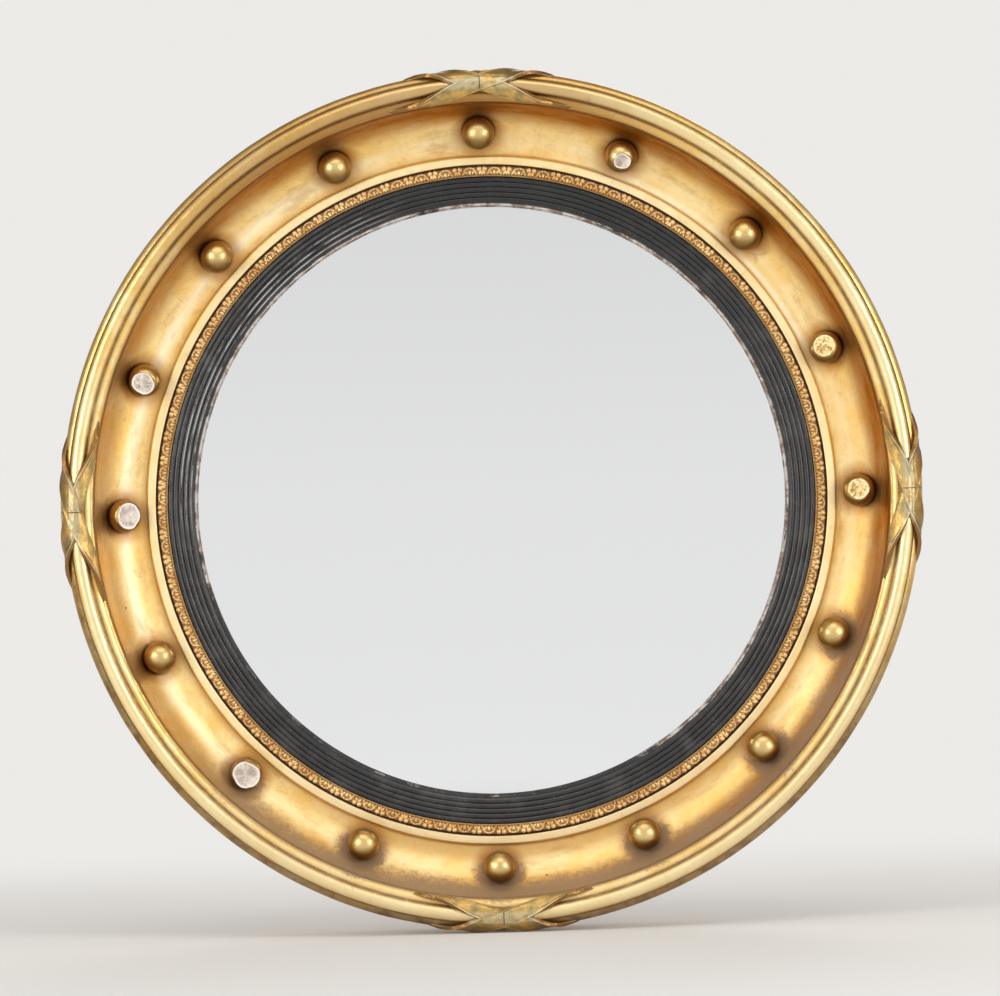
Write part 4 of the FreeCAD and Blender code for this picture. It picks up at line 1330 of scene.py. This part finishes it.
@dataclass
class LeafBand:
    """The narrow moulding of hearts and darts between the slip and the fillet.

    Attributes:
        repeats: How many hearts it has.
        crown: The depth of the highest carving.
        ground_face: Where the lobes stand, as a Y.
        steps: Stations round the ground.
    """

    repeats: int = 84
    crown: float = 0.0403
    ground_face: float = -0.0386
    steps: int = 360

    @property
    def middle(self) -> float:
        """The radius of the middle of the band."""
        return (PLAN.leaf_inner + PLAN.leaf_outer) / 2

    def build(self) -> None:
        """Build the ground, its bead edge and the carving, and dress them."""
        self.ground()
        self.carving()

    def ground(self) -> None:
        """Turn the brown ground, a little below the carving."""
        inner, outer = PLAN.leaf_inner, PLAN.leaf_outer
        section = [(inner, 0.036), (inner, 0.0372)]
        section += arc((inner + 0.0006, 0.0374), 0.0006, 180, 40, 5)[1:]
        section += [(inner + 0.0014, 0.0373), (inner + 0.0028, 0.0381), (inner + 0.0044, 0.0387),
                    (inner + 0.0056, 0.0389), (outer - 0.0003, 0.0388), (outer, 0.0384), (outer, 0.036)]
        piece = turn_section("leaf_band_ground", section, self.steps)
        dress(piece, BronzedGilding("bronzed_ground", False).make(), Slot.BRONZED, "leaf_moulding")

    def lobe(self, place: Triple, size: Triple, turn: float = 0.0, rings: int = 6) -> bpy.types.Object:
        """Add one rounded lobe of the carving.

        Args:
            place: Its middle: along the band, towards the front, outwards.
            size: Its half sizes in the same order.
            turn: Its clockwise turn.
            rings: How finely it is made.

        Returns:
            The lobe.
        """
        bpy.ops.mesh.primitive_uv_sphere_add(segments=10, ring_count=rings, radius=1, scale=size,
                                             location=place, rotation=(0, turn, 0))
        piece = bpy.context.object
        apply_place(piece)
        return piece

    def repeat(self) -> bpy.types.Object:
        """Model one heart with its stem, and the arch and bead beside it, at the top of the band."""
        half = FULL_TURN * self.middle / self.repeats / 2
        base = self.ground_face
        parts = []
        for side in (-1, 1):
            pair = (((side * 0.0018, base - 0.0002, 0.0018), (0.0018, 0.0014, 0.0015), 0.6),
                    ((side * 0.0012, base + 0.0003, -0.0006), (0.0010, 0.0013, 0.0022), -0.40),
                    ((side * 0.0037, base + 0.0006, -0.0014), (0.0010, 0.0012, 0.0018), 0.75),
                    ((half + side * 0.0021, base + 0.0005, -0.0010), (0.0009, 0.0012, 0.0018), 0.5))
            parts += [self.lobe(place, size, side * turn) for place, size, turn in pair]
        parts.append(self.lobe((0, base + 0.0004, -0.0015), (0.0010, 0.0013, 0.0016)))
        parts.append(self.lobe((half, base + 0.0004, -0.0008), (0.0012, 0.0014, 0.0021)))
        parts += self.arch(half, base)
        piece = join(parts, "leaf_band_carving")
        place_mesh(piece, Matrix.Translation((0, 0, self.middle)))
        return piece

    def arch(self, along: float, base: float) -> list[bpy.types.Object]:
        """Model the arch over the bead as a chain of short overlapping ridges."""
        parts = []
        for number in range(6):
            angle = math.radians(-85 + 170 * number / 5)
            place = (along + 0.0034 * math.sin(angle), base + 0.0001, 0.0001 + 0.0021 * math.cos(angle))
            parts.append(self.lobe(place, (0.0013, 0.0011, 0.0008), angle, 5))
        return parts

    def carving(self) -> None:
        """Copy the repeat all round the band and dress it as one piece."""
        model = self.repeat()
        step = FULL_TURN / self.repeats
        copies = [copy_of(model, f"leaf_{number}", clockwise(number * step))
                  for number in range(1, self.repeats)]
        piece = join([model, *copies], "leaf_band_carving")
        wobble(piece, 0.0002, 0.004)
        self.keep_in(piece)
        pick(piece)
        bpy.ops.object.shade_smooth()
        dress(piece, BronzedGilding("bronzed_carving", True).make(), Slot.BRONZED, "leaf_moulding")

    def keep_in(self, piece: bpy.types.Object) -> None:
        """Hold the carving inside its band, so that it clears the rings on both sides."""
        for vertex in piece.data.vertices:
            radius = math.hypot(vertex.co.x, vertex.co.z)
            wanted = min(max(radius, PLAN.leaf_inner + 0.0002), PLAN.leaf_outer + 0.0002)
            vertex.co.x *= wanted / radius
            vertex.co.z *= wanted / radius
            vertex.co.y = min(max(vertex.co.y, -self.crown), -0.0365)


# ------------------------------------------------------------------ slip and glass

@dataclass
class SlipAndGlass:
    """The black reeded slip and the convex plate behind its lip.

    Attributes:
        outer_depth: The depth of the outermost reed's outer foot.
        fall: How much lower the innermost reed's inner foot is.
        lip_depth: The depth of the lip's front.
        reed_arc: The radius of each reed's round.
        curve: The radius of the glass's front.
        glass_radius: The radius of the plate.
        thickness: The plate's thickness.
        seat: The depth of the glass's front under the lip.
        ground: How much is ground off the plate's edges.
        steps: Stations round each ring.
    """

    outer_depth: float = 0.0364
    fall: float = 0.0032
    lip_depth: float = 0.0316
    reed_arc: float = 0.0021
    curve: float = 0.812
    glass_radius: float = 0.2005
    thickness: float = 0.003
    seat: float = 0.0291
    ground: float = 0.0005
    steps: int = 400

    def build(self) -> None:
        """Build and dress the slip and the glass."""
        self.slip()
        self.glass()

    def sphere_depth(self, radius: float, sink: float = 0.0) -> float:
        """Return the depth of the glass at a radius, on its front or sunk below it."""
        centre = self.seat - math.sqrt(self.curve ** 2 - PLAN.sight_radius ** 2)
        return centre + math.sqrt((self.curve - sink) ** 2 - radius ** 2)

    def slip(self) -> None:
        """Turn the slip with its reeds, its worn lip and the rebate for the glass."""
        sight, lip = PLAN.sight_radius, self.lip_depth
        section = [(sight, self.seat + 0.0003), (sight, lip - 0.0006)]
        section += arc((sight + 0.0006, lip - 0.0006), 0.0006, 180, 90, 4)[1:]
        section += [(PLAN.reeds_inner, lip)]
        count = PLAN.slip_reeds
        pitch = (PLAN.reeds_outer - PLAN.reeds_inner) / count
        feet = [(PLAN.reeds_inner + number * pitch, self.outer_depth - self.fall * (1 - number / count))
                for number in range(count + 1)]
        for start, end in zip(feet, feet[1:]):
            section += bow(start, end, self.reed_arc, 9, -1)
        body, rebate = PLAN.rebate_radius - 0.0005, self.glass_radius + 0.0005
        section += [(PLAN.reeds_outer, 0.0328), (body, 0.0328), (body, 0.020), (rebate, 0.020),
                    (rebate, self.sphere_depth(self.glass_radius) + 0.0003)]
        piece = turn_section("ebonised_slip_polished", section, self.steps)
        wobble(piece, 0.00012, 0.012)
        dress(piece, EbonisedWood().make(), Slot.EBONISED, "ebonised_slip")

    def glass(self) -> None:
        """Turn the plate with its ground edge."""
        outer, inner = self.glass_radius, self.glass_radius - self.ground
        front = [outer * number / 44 for number in range(44)] + [inner]
        back = [inner] + [outer * share / 10 for share in range(9, -1, -1)]
        section = [(radius, self.sphere_depth(radius)) for radius in front]
        section += [(outer, self.sphere_depth(outer) - self.ground),
                    (outer, self.sphere_depth(outer, self.thickness) + self.ground)]
        section += [(radius, self.sphere_depth(radius, self.thickness)) for radius in back]
        piece = turn_section("convex_glass_silvered", section, self.steps)
        dress(piece, MirrorPlate().make(), Slot.GLASS, "convex_glass")


# ------------------------------------------------------------------ balls

@dataclass(frozen=True)
class Break:
    """A broken or rubbed place on a ball.

    Attributes:
        height: How far it is from the ball's middle.
        right: How far it faces to the right.
        up: How far it faces upwards.
        white: Whether gesso shows, rather than bruised leaf.
    """

    height: float
    right: float
    up: float
    white: bool = True

    def facing(self) -> Vector:
        """Return the way that it faces."""
        return Vector((self.right, -math.sqrt(1 - self.right ** 2 - self.up ** 2), self.up))

    def reach(self) -> float:
        """Return the radius of the break on a ball."""
        return math.sqrt(PLAN.ball_radius ** 2 - self.height ** 2)


@dataclass
class Balls:
    """The sixteen gilded balls in the hollow, six of them damaged.

    Attributes:
        damaged: Which balls are broken, counted clockwise from the top.
        foot: How far above the hollow's surface a ball starts.
        neck: How much narrower than the ball's foot its peg is.
        peg: How long the peg is.
        insets: The slot and the width of each ring of ground round a broken face, as a share of its reach.
    """

    damaged: dict[int, Break] = field(default_factory=lambda: {
        2: Break(0.0087, 0.09, -0.40),
        4: Break(0.0073, -0.16, 0.17, white=False),
        5: Break(0.0076, -0.03, 0.12, white=False),
        11: Break(0.0044, 0.0, -0.17),
        13: Break(0.0052, 0.55, 0.0),
        14: Break(0.0068, -0.13, -0.30)})
    foot: float = 0.0006
    neck: float = 0.0012
    peg: float = 0.009
    insets: tuple[tuple[int, float], ...] = ((1, 0.05), (2, 0.14))

    def build(self) -> None:
        """Model one ball, copy it to each place, break the damaged ones and dress them."""
        model = self.model()
        leaf, bruised = BallGilding().make(), BruisedLeaf().make()
        fresh = Gesso("fresh_gesso", srgb(255, 252, 248), srgb(250, 243, 236)).make()
        handled = Gesso("handled_gesso", srgb(246, 238, 230), srgb(214, 202, 194)).make()
        for number in range(1, PLAN.ball_count + 1):
            ball = copy_of(model, f"gilt_ball_{number:02d}", Matrix.Identity(4))
            damage = self.damaged.get(number)
            ball.data.materials.append(leaf)
            for ground in (fresh, handled) if damage and damage.white else (bruised, bruised):
                ball.data.materials.append(ground)
            self.age(ball, number)
            place_mesh(ball, PLAN.ball_seat(number) @ Matrix.Rotation(number * 2.4, 4, "Z"))
            if damage:
                self.rough_face(ball, PLAN.ball_seat(number) @ Vector((0, 0, PLAN.ball_lift)), damage, number)
            tidy(ball, 50)
            dress(ball, None, Slot.GILDING, f"ball_{number:02d}")
        bpy.data.objects.remove(model, do_unlink=True)

    def model(self) -> bpy.types.Object:
        """Model a sound ball on its peg, with its axis on Z and its seat at the origin."""
        bpy.ops.mesh.primitive_uv_sphere_add(segments=56, ring_count=36, radius=PLAN.ball_radius,
                                             location=(0, 0, PLAN.ball_lift))
        piece = bpy.context.object
        piece.name = "ball_model"
        apply_place(piece)
        with editing(piece):
            bpy.ops.mesh.bisect(plane_co=(0, 0, self.foot), plane_no=(0, 0, -1), clear_outer=True,
                                use_fill=True)
        select_faces(piece, lambda face: face.normal.z < -0.99 and face.center.z < self.foot + 1e-5)
        with editing(piece, everything=False):
            bpy.ops.mesh.select_mode(type="FACE")
            bpy.ops.mesh.inset(thickness=self.neck, depth=0)
            bpy.ops.mesh.extrude_region_move(TRANSFORM_OT_translate={"value": (0, 0, -self.peg)})
        return piece

    def age(self, ball: bpy.types.Object, number: int) -> None:
        """Make a ball slightly uneven.

        Args:
            ball: The ball in its own frame.
            number: Its number, which sets its unevenness.
        """
        away = Matrix.Translation((0.031 * number, 0.017 * number, 0))
        place_mesh(ball, away)
        wobble(ball, 0.00045, 0.009)
        place_mesh(ball, away.inverted())

    def rough_face(self, ball: bpy.types.Object, middle: Vector, damage: Break, number: int) -> None:
        """Cut a ball across and turn the cut into a ragged broken face.

        Args:
            ball: The ball in its place.
            middle: The ball's middle.
            damage: Where and how it is broken.
            number: The seed of the roughness.
        """
        facing = damage.facing()
        spot = middle + facing * damage.height
        with editing(ball):
            bpy.ops.mesh.bisect(plane_co=spot, plane_no=facing, clear_outer=True, use_fill=True)
        cut = select_faces(ball, lambda face: face.normal.dot(facing) > 0.95 and len(face.vertices) > 8
                           and abs((face.center - spot).dot(facing)) < 0.0004)
        for index in {index for face in cut for index in face.vertices}:
            corner = ball.data.vertices[index].co
            turn = self.clock(corner - spot, facing)
            dent = sum(math.sin(waves * turn + number * waves) / waves for waves in (2, 3, 5, 9))
            shrink = 1 - (0.01 + 0.11 * max(0.0, dent) if damage.white else 0.03 * (1 + dent / 1.2))
            corner.xyz = spot + (corner - spot) * shrink
        with editing(ball, everything=False):
            bpy.ops.mesh.select_mode(type="FACE")
            for slot, share in self.insets:
                bpy.ops.mesh.inset(thickness=damage.reach() * share, depth=-0.00014)
                ball.active_material_index = slot
                bpy.ops.object.material_slot_assign()
            bpy.ops.mesh.poke()
            bpy.ops.mesh.subdivide(number_cuts=6, smoothness=0)
            bpy.ops.transform.vertex_random(offset=0.0003 if damage.white else 0.00022, uniform=0.0,
                                            normal=0.5, seed=number)

    @staticmethod
    def clock(arm: Vector, facing: Vector) -> float:
        """Return the angle of an arm round the way that a break faces."""
        side = facing.cross(Vector((0, 0, 1))).normalized()
        return math.atan2(arm.dot(side.cross(facing)), arm.dot(side))


# ------------------------------------------------------------------ ribbon ties

@dataclass
class Ties:
    """The four crossed ribbons that tie the reeds together.

    Attributes:
        reach: How far along the rim a band's inner end is from the knot.
        outer_reach: How far its outer end is.
        wrap: How far round the reeds each end goes, in degrees from the front.
        inner: The radius of the bands' back round the reeds.
        thickness: How thick a band is.
        width: A band's width at the knot.
        tip: A band's width at its ends.
        tilt: How far outwards of the rim's crown the bands cross, in degrees.
        centre: The radius and depth of the middle of the reeds.
        ridge: How far a band's edges stand up.
        highest: The farthest that a band may stand from the centre.
        finish: The gilding.
    """

    reach: float = 0.060
    outer_reach: float = 0.045
    wrap: float = 110.0
    inner: float = 0.0092
    thickness: float = 0.0024
    width: float = 0.0112
    tip: float = 0.0064
    tilt: float = 9.0
    centre: tuple[float, float] = (0.26997, 0.0642)
    ridge: float = 0.0006
    highest: float = 0.01285
    finish: TieGilding = TieGilding()

    def build(self) -> None:
        """Model one tie, copy it to its four places and dress the copies."""
        material = self.finish.make()
        model = self.model()
        for number, place in enumerate(("top", "right", "bottom", "left")):
            tie = copy_of(model, f"ribbon_tie_{place}_gilt", clockwise(number * QUARTER_TURN))
            wobble(tie, 0.0005, 0.006)
            tidy(tie, 44)
            dress(tie, material, Slot.TARNISHED, f"ribbon_tie_{place}")
        bpy.data.objects.remove(model, do_unlink=True)

    def model(self) -> bpy.types.Object:
        """Model the two crossing bands at the top of the rim."""
        return join([self.band(1, 0.0009), self.band(-1, 0.0), self.wrapper()], "tie_model")

    def wrapper(self) -> bpy.types.Object:
        """Model the plain wrapper under the bands, which fills the space between them outside the knot."""
        bpy.ops.mesh.primitive_grid_add(x_subdivisions=40, y_subdivisions=24, size=2)
        piece = bpy.context.object
        piece.name = "wrapper"
        radius, depth = self.centre
        for vertex in piece.data.vertices:
            share = (vertex.co.y + 1) / 2
            turn = math.radians(22 + 92 * share)
            clock = vertex.co.x * (0.012 + 0.026 * share) / radius
            outward = Vector((math.sin(clock), 0, math.cos(clock)))
            out = self.inner + self.thickness - 0.0007
            out -= 0.0016 * vertex.co.x ** 6 + 0.0016 * max(0.0, share - 0.8) * 5
            normal = outward * math.sin(turn) + Vector((0, -math.cos(turn), 0))
            vertex.co = outward * radius + Vector((0, -depth, 0)) + normal * out
        tidy(piece, 60)
        finish_modifier(piece, "SOLIDIFY", thickness=0.0022, offset=self.side_of(piece))
        return piece

    def band(self, hand: int, lift: float) -> bpy.types.Object:
        """Model one band, from a flat grid laid round the reeds.

        Args:
            hand: Which way it slants.
            lift: How far it stands over the other band at the knot.

        Returns:
            The band.
        """
        bpy.ops.mesh.primitive_grid_add(x_subdivisions=16, y_subdivisions=80, size=2)
        piece = bpy.context.object
        piece.name = f"band_{hand}"
        for vertex in piece.data.vertices:
            vertex.co = self.laid(vertex.co.y, vertex.co.x, hand, lift)
        tidy(piece, 60)
        finish_modifier(piece, "SOLIDIFY", thickness=self.thickness, offset=self.side_of(piece))
        finish_modifier(piece, "BEVEL", width=0.0006, segments=2, limit_method="ANGLE", angle_limit=0.9)
        return piece

    def side_of(self, piece: bpy.types.Object) -> float:
        """Return the Solidify offset that puts the thickness behind the band, towards the reeds."""
        middle = min(piece.data.polygons, key=lambda face: face.center.y)
        return -1.0 if middle.normal.y < 0 else 1.0

    def laid(self, share: float, across: float, hand: int, lift: float) -> Vector:
        """Return where a point of the flat band lies on the rim.

        Args:
            share: Its place along the band, from -1 to 1.
            across: Its place across the band, from -1 to 1.
            hand: Which way the band slants.
            lift: How far the band stands over the other at the knot.

        Returns:
            The point on the band's outer face.
        """
        turn = share * math.radians(self.wrap) + math.radians(self.tilt)
        radius, depth = self.centre
        spread = math.sin(math.atan2((self.inner + self.thickness) * math.radians(self.wrap), self.reach))
        half = (self.tip + (self.width - self.tip) * math.exp(-(share / 0.42) ** 2)) / spread / 2
        clock = hand * share * (self.reach if share < 0 else self.outer_reach) / radius
        outward = Vector((math.sin(clock), 0, math.cos(clock)))
        tangent = Vector((math.cos(clock), 0, -math.sin(clock)))
        normal = outward * math.sin(turn) + Vector((0, -math.cos(turn), 0))
        knot = math.exp(-(share / 0.24) ** 2)
        edge = self.ridge * max(0.0, (abs(across) - 0.7) / 0.3) ** 1.5
        fold = 0.00018 * math.cos(across * 4.2 + share * 7) * (1 - 0.4 * abs(across))
        crease = -0.00035 * sum(math.exp(-((share - place) / 0.012) ** 2) for place in (-0.06, 0.09, 0.21))
        sink = 0.0028 * max(0.0, share * 2 - 1) ** 1.4 + 0.0050 * max(0.0, -share * 2 - 1) ** 2.2
        out = min(self.inner + self.thickness + lift * knot + edge + fold + crease - sink, self.highest)
        return outward * radius + Vector((0, -depth, 0)) + normal * out + tangent * (half * across * hand)


# ------------------------------------------------------------------ back and hanger

@dataclass
class Back:
    """The pine ring, its backboard, the packing blocks and the brads.

    Attributes:
        segments: How many pieces the ring is glued from.
        blocks: How many packing blocks hold the glass.
        softness: The wear along the edges of the wood.
    """

    segments: int = 8
    blocks: int = 8
    softness: float = 0.0006

    def build(self) -> None:
        """Build and dress the wood and the brads."""
        step = FULL_TURN / self.segments
        for number in range(1, self.segments + 1):
            finish = Pine(f"pine_segment_{number}", GrainRun.ALONG_RING, (number - 1) * step,
                          0.12 + 0.08 * (number % 3), 0.21 * number)
            softened(f"back_segment_{number}", finish.make(), self.softness, Slot.PINE)
        block_finish = Pine("pine_blocks", GrainRun.UPRIGHT, 0, 0.0, 1.7).make()
        for number in range(1, self.blocks + 1):
            softened(f"glass_block_{number}", block_finish, self.softness / 2, Slot.PINE)
        for shift, place in enumerate(("left", "middle", "right")):
            finish = Pine(f"pine_plank_{place}", GrainRun.UPRIGHT, 0.012 * (shift - 1), 0.05 + 0.07 * shift,
                          0.9 + 0.43 * shift)
            softened(f"backboard_plank_{place}", finish.make(), self.softness, Slot.PINE)
        iron = OldMetal("rusted_iron", srgb(128, 112, 98), srgb(84, 52, 34), 0.7, 0.85).make()
        softened("backboard_brads", iron, 0.0002, Slot.IRON)


@dataclass
class Hanger:
    """The brass strap, its two screws and the ring that swings in it."""

    def build(self) -> None:
        """Build and dress the hanging hardware."""
        brass = OldMetal("aged_brass", srgb(214, 176, 104), srgb(112, 82, 44), 0.95, 0.7).make()
        screw = OldMetal("screw_brass", srgb(222, 188, 118), srgb(98, 70, 38), 0.95, 0.55).make()
        softened("hanger_strap", brass, 0.0002, Slot.BRASS)
        softened("hanger_screws", screw, 0.00015, Slot.BRASS)
        softened("hanging_ring", brass, 0.0001, Slot.BRASS, Body.RING)


# ------------------------------------------------------------------ studio

@dataclass
class Studio:
    """A pale floor, soft lamps and the camera.

    Attributes:
        pale: The brightness of the background.
        horizon: The brightness that is reflected from the horizon.
        distance: How far the camera is from the rim.
        picture_width: The width of what the photograph shows at the rim.
        centre: Where the picture's middle is, to the right and up from the mirror's axis.
        roll: How far the mirror hangs turned in the picture, counter-clockwise, in degrees.
        sensor: The width of the camera's sensor, in millimetres.
        rim_depth: The depth of the rim's crown.
        daylight: The colour of the background's light.
        lamplight: The colour of the lamps.
    """

    pale: float = 0.84
    horizon: float = 0.88
    distance: float = 5.0
    picture_width: float = 0.652
    centre: tuple[float, float] = (0.0055, 0.0013)
    roll: float = 1.7
    sensor: float = 36.0
    rim_depth: float = 0.064
    daylight: Colour = (1.0, 0.985, 0.96, 1.0)
    lamplight: Triple = (1.0, 0.97, 0.92)

    def build(self) -> None:
        """Set up the room, the lamps, the camera and the view."""
        self.sky()
        self.floor()
        self.lamps()
        self.camera()
        bpy.context.scene.view_settings.view_transform = "Standard"

    def sky(self) -> None:
        """Make the background: even for the camera, graded for reflections."""
        world = bpy.data.worlds.new("studio")
        bpy.context.scene.world = world
        world.use_nodes = True
        g = Graph(world.node_tree)
        _, front, up = g.parts(g.coordinates("Generated"))
        height = up.span(0.0, 0.50, self.horizon, self.horizon - 0.078, "LINEAR")
        rise = front.span(-0.84, -0.70, 1.0, 1.14, "LINEAR")
        fall = front.span(-0.42, 0.05, 1.0, 0.36, "LINEAR")
        camera, glossy, through = g.rays()
        bounce = g.either(glossy, 0.62, height * (rise * fall))
        shown = g.either(through, g.either(camera, bounce, self.pale), self.pale)
        light = g.node("ShaderNodeBackground", 0, {"Color": self.daylight, "Strength": shown})
        g.feed(g.add("ShaderNodeOutputWorld").inputs["Surface"], light)

    def floor(self) -> None:
        """Lay the pale floor, which fades into the background far from the mirror; in reflections it glows
        from close to the mirror, a little brighter towards it, as painted light over its shadow.
        """
        bpy.ops.mesh.primitive_plane_add(size=60, location=(0, 0, CAD_BOX[0][2]))
        floor = bpy.context.object
        floor.name = "studio_floor"
        apply_place(floor)
        s = Shader("floor_pale", (0.80, 0.79, 0.775, 1.0))
        floor.data.materials.append(s.close(0.75))
        away = (s.x * s.x + s.y * s.y).root()
        camera, glossy, through = s.rays()
        others = (camera | glossy | through) - camera
        strength = camera * self.pale + (1.0 - camera) * (0.009 / away + self.horizon)
        glow = s.node("ShaderNodeEmission", 0, {"Color": self.daylight, "Strength": strength})
        # In reflections the floor glows from 0.06 to 0.24 m out: painted light over the mirror's shadow.
        faded = away.span(0.45, 1.3) * camera + away.span(0.06, 0.24) * others
        surface = s.surface.outputs["BSDF"]
        s.feed(s.output, s.node("ShaderNodeMixShader", 0, {0: faded, 1: surface, 2: glow}))

    def lamps(self) -> None:
        """Hang two tall soft lamps at the sides, a wide one above and one behind."""
        self.lamp("lamp_left", (-1.60, -1.77, 0.46), (0.60, 0.85), 14.0)
        self.lamp("lamp_right", (1.60, -1.77, 0.40), (0.60, 0.85), 13.5)
        self.lamp("lamp_above", (0.0, -1.3, 2.0), (1.8, 0.9), 10.0)
        self.lamp("lamp_behind", (0.3, 2.2, 1.1), (1.4, 1.2), 12.0)

    def lamp(self, name: str, place: Triple, size: Point, power: float) -> None:
        """Add one soft lamp that faces the mirror."""
        data = bpy.data.lights.new(name, "AREA")
        data.shape = "RECTANGLE"
        data.size, data.size_y = size
        data.energy = power
        data.color = self.lamplight
        lamp = bpy.data.objects.new(name, data)
        bpy.context.scene.collection.objects.link(lamp)
        lamp.location = place
        lamp.rotation_euler = (Vector((0, -0.03, 0)) - Vector(place)).to_track_quat("-Z", "Y").to_euler()

    def camera(self) -> None:
        """Place the camera square on to the mirror, a little off its middle and rolled."""
        data = bpy.data.cameras.new("camera")
        data.sensor_width = self.sensor
        data.lens = self.sensor * self.distance / self.picture_width
        data.clip_end = 100
        camera = bpy.data.objects.new("camera", data)
        bpy.context.scene.collection.objects.link(camera)
        place = Matrix.Translation((self.centre[0], -self.rim_depth - self.distance, self.centre[1]))
        turn = Matrix.Rotation(QUARTER_TURN, 4, "X") @ Matrix.Rotation(-math.radians(self.roll), 4, "Z")
        camera.matrix_world = place @ turn
        bpy.context.scene.camera = camera


def main() -> None:
    """Build the mirror piece by piece, then the studio."""
    logging.basicConfig(level=logging.INFO, format="%(name)s: %(message)s")
    for assembly in (GiltRings(), LeafBand(), SlipAndGlass(), Balls(), Ties(), Back(), Hanger()):
        assembly.build()
        LOG.info("%s done", type(assembly).__name__)
    Studio().build()
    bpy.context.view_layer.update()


if __name__ == "__main__":
    main()
